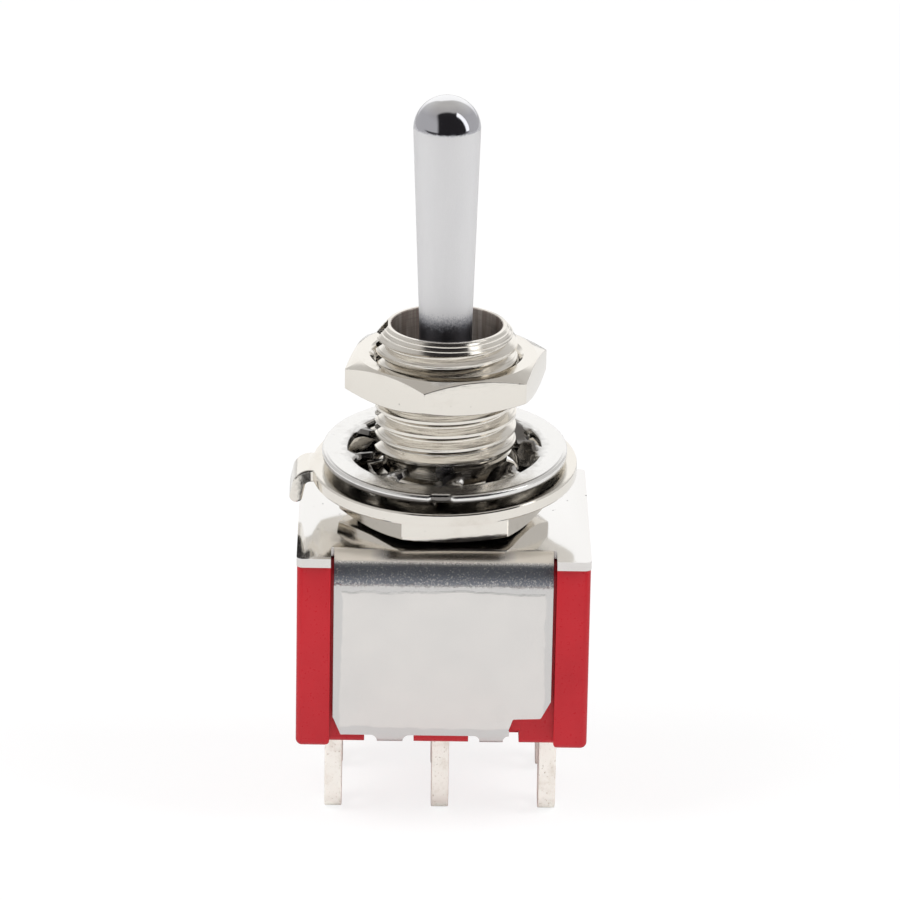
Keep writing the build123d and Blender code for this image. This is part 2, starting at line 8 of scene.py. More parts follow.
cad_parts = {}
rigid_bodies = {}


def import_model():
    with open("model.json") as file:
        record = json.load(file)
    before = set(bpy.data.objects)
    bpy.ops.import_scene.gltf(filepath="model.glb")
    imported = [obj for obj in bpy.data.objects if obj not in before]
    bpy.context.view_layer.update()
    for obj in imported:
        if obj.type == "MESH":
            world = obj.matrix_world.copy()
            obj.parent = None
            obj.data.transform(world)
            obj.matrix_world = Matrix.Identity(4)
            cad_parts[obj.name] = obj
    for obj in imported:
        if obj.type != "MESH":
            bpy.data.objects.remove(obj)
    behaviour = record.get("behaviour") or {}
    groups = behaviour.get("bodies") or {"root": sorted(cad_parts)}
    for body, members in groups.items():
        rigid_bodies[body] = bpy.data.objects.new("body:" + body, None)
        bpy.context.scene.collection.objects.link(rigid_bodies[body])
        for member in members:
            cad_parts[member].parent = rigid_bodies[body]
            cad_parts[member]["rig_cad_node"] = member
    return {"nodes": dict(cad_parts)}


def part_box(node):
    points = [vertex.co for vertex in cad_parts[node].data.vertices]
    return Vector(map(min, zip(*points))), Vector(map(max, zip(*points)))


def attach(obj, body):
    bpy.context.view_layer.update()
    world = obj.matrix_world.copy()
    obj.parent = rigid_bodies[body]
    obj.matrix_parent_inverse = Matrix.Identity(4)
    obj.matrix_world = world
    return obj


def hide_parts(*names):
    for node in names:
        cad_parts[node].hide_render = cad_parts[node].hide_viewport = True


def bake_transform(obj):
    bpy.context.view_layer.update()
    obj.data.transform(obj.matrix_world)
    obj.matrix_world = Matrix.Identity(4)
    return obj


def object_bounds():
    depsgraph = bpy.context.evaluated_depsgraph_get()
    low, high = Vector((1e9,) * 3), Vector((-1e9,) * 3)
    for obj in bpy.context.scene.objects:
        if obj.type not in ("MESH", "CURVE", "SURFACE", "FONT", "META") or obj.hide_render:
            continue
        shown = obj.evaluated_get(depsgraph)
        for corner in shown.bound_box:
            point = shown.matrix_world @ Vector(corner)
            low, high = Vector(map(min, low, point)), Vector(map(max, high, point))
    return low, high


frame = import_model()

cad_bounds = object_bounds()
MM = 0.001


# ---- case ----
# The case is one compression moulding in red thermoset: four corner rails, recessed faces
# for the frame's flaps, and a well for each pole. Its edges keep a small mould radius.

CASE_RED = (0.46, 0.014, 0.022, 1)
CASE_RED_DEEP = (0.38, 0.009, 0.016, 1)
CASE_EDGE = 0.07 * MM
SAME_POINT = 0.001 * MM
FLAT_UNDER = 0.5
ROUNDED_OVER = 28
CREASE_OVER = 24


def rounded_copy(node, name, edge):
    """The CAD node's shape with its sharp edges rounded, as a piece that stands for it."""
    mesh = frame["nodes"][node].data.copy()
    form = bmesh.new()
    form.from_mesh(mesh)
    bmesh.ops.remove_doubles(form, verts=form.verts, dist=SAME_POINT)
    bmesh.ops.dissolve_limit(
        form, angle_limit=math.radians(FLAT_UNDER), verts=form.verts, edges=form.edges
    )
    form.to_mesh(mesh)
    form.free()
    piece = blank_piece(name, mesh)
    bevel = piece.modifiers.new("edge_round", "BEVEL")
    bevel.width = edge
    bevel.segments = 2
    bevel.limit_method = "ANGLE"
    bevel.angle_limit = math.radians(ROUNDED_OVER)
    bevel.use_clamp_overlap = True
    keep_result(piece)
    shade(piece)
    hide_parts(node)
    return piece


def blank_piece(name, mesh=None):
    """An object at the origin, with this mesh or an empty one."""
    piece = bpy.data.objects.new(name, mesh or bpy.data.meshes.new(name))
    bpy.context.scene.collection.objects.link(piece)
    return piece


def keep_result(piece):
    """Turns what a piece's modifiers make into its plain mesh, and removes them."""
    view = bpy.context.evaluated_depsgraph_get()
    mesh = bpy.data.meshes.new_from_object(piece.evaluated_get(view))
    piece.modifiers.clear()
    piece.data = mesh


def shade(piece, crease_over=CREASE_OVER):
    """Smooth shading, with a crease where the surface turns by more than these degrees."""
    piece.data.shade_smooth()
    piece.data.set_sharp_from_angle(angle=math.radians(crease_over))


def finish_with(piece, material, body):
    """Gives a piece its one material and, if there is one, its body."""
    piece.data.materials.clear()
    piece.data.materials.append(material)
    if body and "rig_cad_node" not in piece:
        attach(piece, body)


def new_material(name):
    """A material and its node tree, holding a Principled shader."""
    material = bpy.data.materials.new(name)
    material.use_nodes = True
    return material, material.node_tree, material.node_tree.nodes["Principled BSDF"]


def speckle(tree, per_mm, stretch=(1, 1, 1), detail=2.0, rough=0.5):
    """Noise on Object coordinates, as a value from 0 to 1."""
    place = tree.nodes.new("ShaderNodeTexCoord")
    scale = tree.nodes.new("ShaderNodeMapping")
    scale.inputs["Scale"].default_value = [per_mm / MM * s for s in stretch]
    noise = tree.nodes.new("ShaderNodeTexNoise")
    noise.inputs["Scale"].default_value = 1.0
    noise.inputs["Detail"].default_value = detail
    noise.inputs["Roughness"].default_value = rough
    tree.links.new(place.outputs["Object"], scale.inputs["Vector"])
    tree.links.new(scale.outputs["Vector"], noise.inputs["Vector"])
    return noise.outputs["Fac"]


def spread(tree, value, low, high, to_low=0.0, to_high=1.0):
    """Maps low..high of a value to to_low..to_high, held at both ends."""
    node = tree.nodes.new("ShaderNodeMapRange")
    node.inputs["From Min"].default_value = low
    node.inputs["From Max"].default_value = high
    node.inputs["To Min"].default_value = to_low
    node.inputs["To Max"].default_value = to_high
    tree.links.new(value, node.inputs["Value"])
    return node.outputs["Result"]


def feed(tree, value, socket):
    """Links a socket to another, or sets it to a number or a colour."""
    if isinstance(value, bpy.types.NodeSocket):
        tree.links.new(value, socket)
    else:
        socket.default_value = value


def calc(tree, operation, *terms):
    """Math on sockets and numbers. With three terms or more it works along them in turn."""
    if len(terms) > 2:
        terms = (calc(tree, operation, *terms[:-1]), terms[-1])
    node = tree.nodes.new("ShaderNodeMath")
    node.operation = operation
    for socket, term in zip(node.inputs, terms):
        feed(tree, term, socket)
    return node.outputs[0]


def blend_colours(tree, share, first, second):
    """A colour between two, each a socket or an RGBA."""
    node = tree.nodes.new("ShaderNodeMix")
    node.data_type = "RGBA"
    tree.links.new(share, node.inputs[0])
    feed(tree, first, node.inputs[6])
    feed(tree, second, node.inputs[7])
    return node.outputs[2]


def object_axes(tree):
    """X, Y and Z of the Object coordinates."""
    place = tree.nodes.new("ShaderNodeTexCoord")
    split = tree.nodes.new("ShaderNodeSeparateXYZ")
    tree.links.new(place.outputs["Object"], split.inputs[0])
    return split.outputs


def relief(tree, shader, height, depth_mm):
    """Bump from a height value."""
    node = tree.nodes.new("ShaderNodeBump")
    node.inputs["Strength"].default_value = 1.0
    node.inputs["Distance"].default_value = depth_mm * MM
    tree.links.new(height, node.inputs["Height"])
    tree.links.new(node.outputs["Normal"], shader.inputs["Normal"])


def red_moulding():
    """Red thermoset: even colour with faint flow shades, satin gloss and a fine mould skin."""
    material, tree, shader = new_material("red_moulding")
    flow = spread(tree, speckle(tree, 0.25, detail=3), 0.35, 0.70)
    tree.links.new(blend_colours(tree, flow, CASE_RED, CASE_RED_DEEP), shader.inputs["Base Color"])
    skin = speckle(tree, 9.0, detail=3)
    tree.links.new(spread(tree, skin, 0.3, 0.7, 0.26, 0.40), shader.inputs["Roughness"])
    shader.inputs["Specular IOR Level"].default_value = 0.32
    relief(tree, shader, skin, 0.004)
    return material


case_shell = rounded_copy("case", "case_shell", CASE_EDGE)
finish_with(case_shell, red_moulding(), "housing")


# ---- terminals ----
# Six blades stamped from silver-plated brass strip and moulded into the case's floor. The
# lugs below have round ends and an eyelet; plating over the raw strip leaves them pitted.

LUG_SILVER = (0.98, 0.965, 0.90, 1)
LUG_SHADE = (0.68, 0.61, 0.51, 1)
LUG_EDGE = 0.05 * MM


def pitted_silver():
    """Dull silver plate over rough strip, with small dark pits and cream patches."""
    material, tree, shader = new_material("pitted_silver")
    shader.inputs["Metallic"].default_value = 0.55
    patch = speckle(tree, 1.6, detail=4, rough=0.6)
    pits = spread(tree, speckle(tree, 9.0, detail=3, rough=0.6), 0.63, 0.70)
    plate = blend_colours(tree, spread(tree, patch, 0.50, 1.00), LUG_SILVER, LUG_SHADE)
    tree.links.new(blend_colours(tree, pits, plate, LUG_SHADE), shader.inputs["Base Color"])
    tree.links.new(spread(tree, patch, 0.3, 0.7, 0.34, 0.50), shader.inputs["Roughness"])
    relief(tree, shader, calc(tree, "SUBTRACT", patch, pits), 0.02)
    return material


lug_plate = pitted_silver()
for pole in ("front", "rear"):
    for throw in ("left", "centre", "right"):
        node = f"terminal_{pole}_{throw}"
        blade = rounded_copy(node, f"lug_{pole}_{throw}", LUG_EDGE)
        finish_with(blade, lug_plate, "housing")


# ---- contacts and rockers ----
# Silver contact heads are riveted to the end terminals' pads. Each pole's rocker is a blade
# formed from silver-plated strip, which tips on its centre terminal.

CONTACT_SILVER = (0.86, 0.85, 0.82, 1)
BLADE_SILVER = (0.80, 0.78, 0.72, 1)
BLADE_TARNISH = (0.56, 0.50, 0.40, 1)


def wiped_metal(name, bright, tarnish):
    """Bright metal with a faint tarnish and fine wiping marks along X."""
    material, tree, shader = new_material(name)
    shader.inputs["Metallic"].default_value = 1.0
    cloud = spread(tree, speckle(tree, 0.8, detail=3), 0.45, 0.80)
    tree.links.new(blend_colours(tree, cloud, bright, tarnish), shader.inputs["Base Color"])
    wipe = speckle(tree, 12.0, stretch=(0.15, 1, 1))
    tree.links.new(spread(tree, wipe, 0.3, 0.7, 0.18, 0.32), shader.inputs["Roughness"])
    relief(tree, shader, wipe, 0.003)
    return material


contact_face = wiped_metal("contact_face", CONTACT_SILVER, BLADE_SILVER)
blade_plate = wiped_metal("blade_plate", BLADE_SILVER, BLADE_TARNISH)
for pole in ("front", "rear"):
    for throw in ("left", "right"):
        head = frame["nodes"][f"contact_{pole}_{throw}"]
        finish_with(head, contact_face, "housing")
    finish_with(frame["nodes"][f"rocker_{pole}"], blade_plate, f"rocker_{pole}")


# ---- plungers, springs and actuator ----
# A moulded nylon carrier is pressed on the lever's stem. In each of its bores a coil spring
# of bright wire pushes a round-nosed plunger onto the rocker. In the switch it shortens as the
# plunger comes up; the coil here is wound at one fixed length.

NYLON = (0.80, 0.77, 0.68, 1)
NYLON_SHADE = (0.70, 0.66, 0.56, 1)
PLUNGER_METAL = (0.78, 0.74, 0.66, 1)
PLUNGER_SHADE = (0.62, 0.56, 0.46, 1)
SPRING_STEEL = (0.60, 0.60, 0.61, 1)
SPRING_SHADE = (0.42, 0.42, 0.44, 1)
SPRING_TURNS = 4.5
SPRING_STEPS = 28
WIRE_RADIUS = 0.09 * MM
WIRE_SIDES = 10


def natural_nylon():
    """Unpigmented nylon, slightly cloudy, with a soft moulded skin."""
    material, tree, shader = new_material("natural_nylon")
    cloud = spread(tree, speckle(tree, 0.6), 0.3, 0.7)
    tree.links.new(blend_colours(tree, cloud, NYLON, NYLON_SHADE), shader.inputs["Base Color"])
    skin = speckle(tree, 14.0)
    tree.links.new(spread(tree, skin, 0.3, 0.7, 0.40, 0.52), shader.inputs["Roughness"])
    relief(tree, shader, skin, 0.004)
    return material


def recipe(name, sizes):
    """A geometry-node tree with a mesh in, a mesh out and a named input for each size."""
    tree = bpy.data.node_groups.new(name, "GeometryNodeTree")
    tree.interface.new_socket("Blank", in_out="INPUT", socket_type="NodeSocketGeometry")
    for label in sizes:
        tree.interface.new_socket(label, in_out="INPUT", socket_type="NodeSocketFloat")
    tree.interface.new_socket("Piece", in_out="OUTPUT", socket_type="NodeSocketGeometry")
    return tree, tree.nodes.new("NodeGroupInput").outputs


def end_recipe(tree, geometry, material):
    """Ends a tree: real geometry in one material."""
    realize = tree.nodes.new("GeometryNodeRealizeInstances")
    finish = tree.nodes.new("GeometryNodeSetMaterial")
    finish.inputs["Material"].default_value = material
    tree.links.new(geometry, realize.inputs["Geometry"])
    tree.links.new(realize.outputs["Geometry"], finish.inputs["Geometry"])
    tree.links.new(finish.outputs["Geometry"], tree.nodes.new("NodeGroupOutput").inputs[0])


def follow(piece, tree, sizes):
    """Makes a piece's mesh by a tree, with these sizes."""
    modifier = piece.modifiers.new(tree.name, "NODES")
    modifier.node_group = tree
    for item in tree.interface.items_tree:
        if item.name in sizes:
            modifier[item.identifier] = sizes[item.name]
    keep_result(piece)


def vector_of(tree, x=0.0, y=0.0, z=0.0):
    """A vector from three numbers or sockets."""
    node = tree.nodes.new("ShaderNodeCombineXYZ")
    for socket, value in zip(node.inputs, (x, y, z)):
        feed(tree, value, socket)
    return node.outputs[0]


def moved(tree, geometry, offset):
    """Geometry moved by a vector."""
    node = tree.nodes.new("GeometryNodeTransform")
    tree.links.new(geometry, node.inputs["Geometry"])
    tree.links.new(offset, node.inputs["Translation"])
    return node.outputs["Geometry"]


def helix(tree, radius, height, turns, steps):
    """The Spiral node set to a helix about the Z axis, in this many steps a turn."""
    node = tree.nodes.new("GeometryNodeCurveSpiral")
    node.inputs["Resolution"].default_value = steps
    for label, value in (("Start Radius", radius), ("End Radius", radius),
                         ("Height", height), ("Rotations", turns)):
        tree.links.new(value, node.inputs[label])
    return node


def swept(tree, path, section):
    """A section carried along a path, with closed ends."""
    node = tree.nodes.new("GeometryNodeCurveToMesh")
    node.inputs["Fill Caps"].default_value = True
    tree.links.new(path, node.inputs["Curve"])
    tree.links.new(section, node.inputs["Profile Curve"])
    return node.outputs["Mesh"]


def coil_recipe(material, sizes):
    """Round wire wound on a helix of constant pitch, from its low end up."""
    tree, given = recipe("wound_coil", sizes)
    path = helix(tree, given["Coil Radius"], given["Height"], given["Turns"], SPRING_STEPS)
    wire = tree.nodes.new("GeometryNodeCurvePrimitiveCircle")
    wire.inputs["Resolution"].default_value = WIRE_SIDES
    tree.links.new(given["Wire Radius"], wire.inputs["Radius"])
    wound = swept(tree, path.outputs["Curve"], wire.outputs["Curve"])
    place = vector_of(tree, y=given["Centre Y"], z=given["Low Z"])
    end_recipe(tree, moved(tree, wound, place), material)
    return tree


spring_wire = wiped_metal("spring_wire", SPRING_STEEL, SPRING_SHADE)
plunger_metal = wiped_metal("plunger_metal", PLUNGER_METAL, PLUNGER_SHADE)
finish_with(frame["nodes"]["actuator"], natural_nylon(), "lever")
coil_sizes = ("Coil Radius", "Wire Radius", "Turns", "Height", "Centre Y", "Low Z")
coil = coil_recipe(spring_wire, coil_sizes)
for pole in ("front", "rear"):
    low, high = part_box(f"spring_{pole}")
    sizes = {
        "Coil Radius": (high.x - low.x) / 2 - WIRE_RADIUS,
        "Wire Radius": WIRE_RADIUS,
        "Turns": SPRING_TURNS,
        "Height": high.z - low.z - 2 * WIRE_RADIUS,
        "Centre Y": (low.y + high.y) / 2,
        "Low Z": low.z + WIRE_RADIUS,
    }
    wound = blank_piece(f"coil_{pole}")
    follow(wound, coil, sizes)
    wound.data.shade_smooth()
    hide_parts(f"spring_{pole}")
    finish_with(wound, spring_wire, None)
    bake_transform(wound)
    finish_with(
        frame["nodes"][f"plunger_{pole}"], plunger_metal, f"plunger_{pole}"
    )


# ---- bushing ----
# Turned from brass bar and nickel plated: a flange under the frame, a 40-per-inch cut
# thread, a stepped lead above it, a smooth bore for the lever and a keyway down the left.

NICKEL = (0.80, 0.765, 0.705, 1)
NICKEL_SHADE = (0.66, 0.61, 0.54, 1)
BORE_REFLECTION_BROWN = (0.36, 0.30, 0.265, 1)
CREST_RADIUS = 3.09 * MM
ROOT_RADIUS = 2.77 * MM
THREAD_PITCH = 0.635 * MM
CREST_FLAT = 0.12 * MM
ROOT_FLAT = 0.05 * MM
OVERCUT = 0.04 * MM
FRONT_CREST_Z = 5.30 * MM
THREAD_TURNS = 14.25
TURNS_UNDER_CREST = 8
TURN_TO_FRONT = 0.75
RELIEF_RADIUS = 2.72 * MM
RELIEF_LOW_Z = 2.30 * MM
RELIEF_HIGH_Z = 3.22 * MM
MOUTH_RADIUS = 2.62 * MM
LEAD_FOOT_Z = 8.20 * MM
LEAD_STEPS = ((2.879 * MM, 8.45 * MM), (2.733 * MM, 8.62 * MM))
BORE_RADIUS = 2.415 * MM
BORE_TONE_RADIUS = 2.46 * MM
FLANGE_RADIUS = 3.90 * MM
FLANGE_TOP_Z = -0.4 * MM
SPIGOT_RADIUS = 3.00 * MM
KEY_WIDTH = 0.80 * MM
KEY_FLOOR = 2.55 * MM
KEY_CUTTER = 1.0 * MM
RIM_ROUND = 0.05 * MM
SEAM_HALF = 0.05 * MM
BUSHING_SIDES = 180


def plated(name, bright, tarnish, gloss, marks, mark_depth,
           eye=None, painted_bore_tone=None, seam=None, brush=0.0):
    """Nickel plate with faint stains, tiny pits and tool marks running as stretched.

    Within the radius eye about the Z axis the colour is darkened, and less so in a soft fringe
    outside it: painted shade. With a bore tone given, that colour, streaked lighter along Z and
    less metallic, fills the radius eye instead: a painted reflection. seam is the radius of a
    dark line which, like the torn lower half of the outer edge, is darkened on the front side
    only: painted shade. brush darkens the tool marks."""
    material, tree, shader = new_material(name)
    shader.inputs["Metallic"].default_value = 1.0
    stain = spread(tree, speckle(tree, 0.5, detail=5, rough=0.65), 0.55, 0.90)
    pits = spread(tree, speckle(tree, 4.0), 0.735, 0.80)
    plate = blend_colours(tree, stain, bright, tarnish)
    dark = tuple(0.35 * c for c in tarnish[:3]) + (1,)
    plate = blend_colours(tree, pits, plate, dark)
    if painted_bore_tone:
        # Painted reflection in the bore: a brown, less metallic colour with light streaks along Z.
        painted_streaks = speckle(tree, 5.0, stretch=(1, 1, 0.06), detail=3)
        painted_streaks = spread(tree, painted_streaks, 0.45, 0.75, 0.0, 0.6)
        zone = inside_radius(tree, eye)
        plate = blend_colours(tree, zone, plate, blend_colours(tree, painted_streaks, painted_bore_tone, bright))
        tree.links.new(spread(tree, zone, 0.0, 1.0, 1.0, 0.45), shader.inputs["Metallic"])
    elif eye:
        # Painted shade: a soft darker fringe outside eye and a dark colour within it.
        soft_shade = inside_radius(tree, eye + 0.20 * MM, ragged=0.15, soft=0.30)
        plate = blend_colours(tree, calc(tree, "MULTIPLY", soft_shade, 0.55), plate, dark)
        plate = blend_colours(tree, inside_radius(tree, eye, ragged=0.12), plate, dark)
    if seam:
        # Painted shade: the seam line and the torn lower edge are darkened on the front side only.
        torn, near = sheared_edge(tree, seam)
        line = calc(tree, "SUBTRACT", inside_radius(tree, seam + SEAM_HALF),
                    inside_radius(tree, seam - SEAM_HALF))
        edge_and_seam_shade = calc(tree, "MAXIMUM", torn, calc(tree, "MULTIPLY", line, near))
        plate = blend_colours(tree, edge_and_seam_shade, plate, dark)
    tool = speckle(tree, 6.0, stretch=marks, detail=3)
    if brush:
        plate = blend_colours(tree, spread(tree, tool, 0.52, 0.72, 0.0, brush), plate, dark)
    tree.links.new(plate, shader.inputs["Base Color"])
    rough = spread(tree, tool, 0.3, 0.7, gloss - 0.04, gloss + 0.06)
    tree.links.new(rough, shader.inputs["Roughness"])
    dents = calc(tree, "MULTIPLY", pits, 0.5)
    relief(tree, shader, calc(tree, "SUBTRACT", tool, dents), mark_depth)
    return material


def inside_radius(tree, radius, ragged=0.0, soft=0.02):
    """1 within this radius of the Z axis, 0 outside. Its edge is ragged and soft by these mm."""
    x, y, _ = object_axes(tree)
    squares = calc(tree, "ADD", calc(tree, "MULTIPLY", x, x), calc(tree, "MULTIPLY", y, y))
    away = calc(tree, "SQRT", squares)
    if ragged:
        wander = spread(tree, speckle(tree, 2.5, detail=3), 0.3, 0.7, -ragged * MM, ragged * MM)
        away = calc(tree, "ADD", away, wander)
    return spread(tree, away, radius + soft * MM, radius - soft * MM)


def sheared_edge(tree, radius):
    """Masks for painted shade on a stamped washer: the lower half of its outer edge, torn in the
    die, on the front side only, and that front side.
    """
    _, y, z = object_axes(tree)
    lean = calc(tree, "MULTIPLY", y, math.sin(WASHER_LEAN[0]))
    height = calc(tree, "SUBTRACT", z, lean, WASHER_AXIS_Z)
    low = spread(tree, height, 0.21 * MM, 0.17 * MM)
    near = spread(tree, y, -0.5 * MM, -3.5 * MM)
    outside = calc(tree, "SUBTRACT", 1.0, inside_radius(tree, radius))
    return calc(tree, "MULTIPLY", low, outside, near), near


def closed_mesh(form, name):
    """The mesh of a closed form, with its faces turned outwards."""
    bmesh.ops.recalc_face_normals(form, faces=form.faces)
    mesh = bpy.data.meshes.new(name)
    form.to_mesh(mesh)
    form.free()
    return mesh


def lathe(name, outline, sides, closed=False):
    """A turned mesh from (radius, z) points. An open outline starts and ends on the axis."""
    form = bmesh.new()
    angles = [2 * math.pi * k / sides for k in range(sides)]
    rows = []
    for radius, z in outline:
        if radius == 0:
            rows.append([form.verts.new((0, 0, z))])
        else:
            rows.append([
                form.verts.new((radius * math.cos(a), radius * math.sin(a), z)) for a in angles
            ])
    pairs = zip(rows, rows[1:] + rows[:1]) if closed else zip(rows, rows[1:])
    for low, high in pairs:
        for k in range(sides):
            n = (k + 1) % sides
            if len(low) == 1:
                form.faces.new((low[0], high[n], high[k]))
            elif len(high) == 1:
                form.faces.new((low[k], low[n], high[0]))
            else:
                form.faces.new((low[k], low[n], high[n], high[k]))
    return closed_mesh(form, name)


def quarter(centre, radius, start, steps=5):
    """Points of a quarter circle about (radius, z), counter-clockwise from start degrees."""
    angles = [math.radians(start + 90 * k / steps) for k in range(steps + 1)]
    return [(centre[0] + radius * math.cos(a), centre[1] + radius * math.sin(a)) for a in angles]


def shoulder(radius, z):
    """A fine turning mark on the lead: a short upright and a narrow ledge."""
    return [(radius, z), (radius, z + 0.04 * MM), (radius - 0.045 * MM, z + 0.05 * MM)]


def bushing_outline(low_z, high_z):
    """The blank's section: up the outside at the thread's crest, over the lead, down the bore."""
    lead = [point for step in LEAD_STEPS for point in shoulder(*step)]
    rim = quarter((MOUTH_RADIUS - RIM_ROUND, high_z - RIM_ROUND), RIM_ROUND, 0)
    inner = quarter((BORE_RADIUS + RIM_ROUND, high_z - RIM_ROUND), RIM_ROUND, 90)
    return [
        (BORE_RADIUS, low_z), (FLANGE_RADIUS, low_z), (FLANGE_RADIUS, FLANGE_TOP_Z),
        (SPIGOT_RADIUS, FLANGE_TOP_Z), (SPIGOT_RADIUS, 0.0), (CREST_RADIUS, 0.0),
        (CREST_RADIUS, RELIEF_LOW_Z - 0.3 * MM), (RELIEF_RADIUS, RELIEF_LOW_Z),
        (RELIEF_RADIUS, RELIEF_HIGH_Z - 0.25 * MM), (CREST_RADIUS, RELIEF_HIGH_Z),
        (CREST_RADIUS, LEAD_FOOT_Z), *lead, *rim, *inner,
    ]


def carved(tree, body, tool):
    """The body with the tool's shape taken out of it."""
    node = tree.nodes.new("GeometryNodeMeshBoolean")
    node.operation = "DIFFERENCE"
    node.solver = "MANIFOLD"
    tree.links.new(body, node.inputs["Mesh 1"])
    tree.links.new(tool, node.inputs["Mesh 2"])
    return node.outputs["Mesh"]


def thread_tool(tree, given):
    """The V tool's section, from the root's flat out past the crest and wider on the way."""
    depth = calc(tree, "SUBTRACT", given["Crest Radius"], given["Root Radius"])
    wide = calc(tree, "DIVIDE", calc(tree, "SUBTRACT", given["Pitch"], given["Crest Flat"]), 2)
    narrow = calc(tree, "DIVIDE", given["Root Flat"], 2)
    widen = calc(tree, "DIVIDE", calc(tree, "SUBTRACT", wide, narrow), depth)
    outer = calc(tree, "ADD", wide, calc(tree, "MULTIPLY", widen, given["Overcut"]))
    root = calc(tree, "MULTIPLY", depth, -1)
    tool = tree.nodes.new("GeometryNodeCurvePrimitiveQuadrilateral")
    tool.mode = "POINTS"
    corners = (
        (root, calc(tree, "MULTIPLY", narrow, -1)), (root, narrow),
        (given["Overcut"], outer), (given["Overcut"], calc(tree, "MULTIPLY", outer, -1)),
    )
    for k, (outward, along) in enumerate(corners):
        tree.links.new(vector_of(tree, outward, along), tool.inputs[f"Point {k + 1}"])
    return tool.outputs["Curve"]


def key_cutter(tree, given):
    """The block that mills the keyway down the left side."""
    block = tree.nodes.new("GeometryNodeMeshCube")
    size = vector_of(tree, given["Key Depth"], given["Key Width"], given["Key Length"])
    tree.links.new(size, block.inputs["Size"])
    reach = calc(tree, "ADD", given["Key Floor"], calc(tree, "DIVIDE", given["Key Depth"], 2))
    left = calc(tree, "MULTIPLY", reach, -1)
    middle = calc(tree, "DIVIDE", given["Key Length"], 2)
    return moved(tree, block.outputs["Mesh"], vector_of(tree, x=left, z=middle))


def thread_recipe(material, sizes):
    """Cuts a right-hand V thread into the blank along a helix, then mills the keyway."""
    tree, given = recipe("screw_cutting", sizes)
    height = calc(tree, "MULTIPLY", given["Pitch"], given["Turns"])
    path = helix(tree, given["Crest Radius"], height, given["Turns"], BUSHING_SIDES)
    path.inputs["Reverse"].default_value = True
    level = tree.nodes.new("GeometryNodeSetCurveNormal")
    level.mode = "Z_UP"
    tree.links.new(path.outputs["Curve"], level.inputs["Curve"])
    groove = swept(tree, level.outputs["Curve"], thread_tool(tree, given))
    outward = tree.nodes.new("GeometryNodeFlipFaces")
    tree.links.new(groove, outward.inputs["Mesh"])
    start = vector_of(tree, z=given["Groove Start"])
    threaded = carved(tree, given["Blank"], moved(tree, outward.outputs["Mesh"], start))
    end_recipe(tree, carved(tree, threaded, key_cutter(tree, given)), material)
    return tree


# Within its bore this nickel takes a brown, streaked, less metallic colour: a painted reflection.
turned_nickel = plated(
    "turned_nickel", NICKEL, NICKEL_SHADE, 0.13, (0.08, 0.08, 2.6), 0.007,
    eye=BORE_TONE_RADIUS, painted_bore_tone=BORE_REFLECTION_BROWN, brush=0.45,
)
bushing_low, bushing_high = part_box("bushing")
# A groove lies half a pitch above its crest, and the helix starts short of the front.
first_groove = FRONT_CREST_Z + (0.5 - TURN_TO_FRONT - TURNS_UNDER_CREST) * THREAD_PITCH
thread_sizes = {
    "Crest Radius": CREST_RADIUS,
    "Root Radius": ROOT_RADIUS,
    "Pitch": THREAD_PITCH,
    "Crest Flat": CREST_FLAT,
    "Root Flat": ROOT_FLAT,
    "Overcut": OVERCUT,
    "Groove Start": first_groove,
    "Turns": THREAD_TURNS,
    "Key Width": KEY_WIDTH,
    "Key Floor": KEY_FLOOR,
    "Key Depth": KEY_CUTTER,
    "Key Length": 2 * bushing_high.z,
}
section = bushing_outline(bushing_low.z, bushing_high.z)
blank = lathe("bushing_blank", section, BUSHING_SIDES, closed=True)
barrel = blank_piece("threaded_bushing", blank)
follow(barrel, thread_recipe(turned_nickel, thread_sizes), thread_sizes)
shade(barrel)
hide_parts("bushing")
finish_with(barrel, turned_nickel, "housing")


# ---- frame ----
# One blank of nickel-plated steel strip: a flat top with four ears, and a flap folded down
# at the front and the rear whose tabs are crimped under the case. The press leaves a coined
# band along each flap's edges and a stretched, open grain on the outside of the folds.

PLATE_NICKEL = (0.81, 0.795, 0.775, 1)
SHEET_NICKEL = (0.775, 0.75, 0.725, 1)
SHEET_BAND = (0.64, 0.63, 0.62, 1)
# A beige for the band above the folds: a painted reflection.
PAINTED_SHEEN_BEIGE = (0.64, 0.585, 0.51, 1)
# A dark steel for the folds' outside: partly their stretched grain, partly painted shade.
FOLD_GRAIN_SHADE = (0.25, 0.265, 0.30, 1)
PIT_BROWN = (0.10, 0.08, 0.07, 1)
SHEET_EDGE = 0.05 * MM
FLAP_HALF_WIDTH = 4.73 * MM
FLAP_LOW_Z = -8.25 * MM
BAND_WIDTH = 0.33 * MM
FOLD_LOW_Z = -1.26 * MM
FOLD_HIGH_Z = -0.34 * MM
FOLD_INNER_Y = 4.2 * MM
BROW_LOW_Z = -0.42 * MM


def coined_band(tree, x, z):
    """The flap's border, pressed flatter than the field inside it. Its inner line wanders."""
    wander = spread(tree, speckle(tree, 0.8, detail=4), 0.3, 0.7, -0.10 * MM, 0.10 * MM)
    across = calc(tree, "ADD", calc(tree, "ABSOLUTE", x), wander)
    height = calc(tree, "ADD", z, wander)
    side = FLAP_HALF_WIDTH - BAND_WIDTH
    low = FLAP_LOW_Z + BAND_WIDTH
    top = FOLD_LOW_Z - BAND_WIDTH
    band = calc(
        tree, "MAXIMUM",
        spread(tree, across, side - 0.04 * MM, side + 0.04 * MM),
        spread(tree, height, low + 0.04 * MM, low - 0.04 * MM),
        spread(tree, height, top - 0.06 * MM, top + 0.06 * MM),
    )
    return calc(tree, "MULTIPLY", band, spread(tree, z, FOLD_LOW_Z + 0.1 * MM, FOLD_LOW_Z))


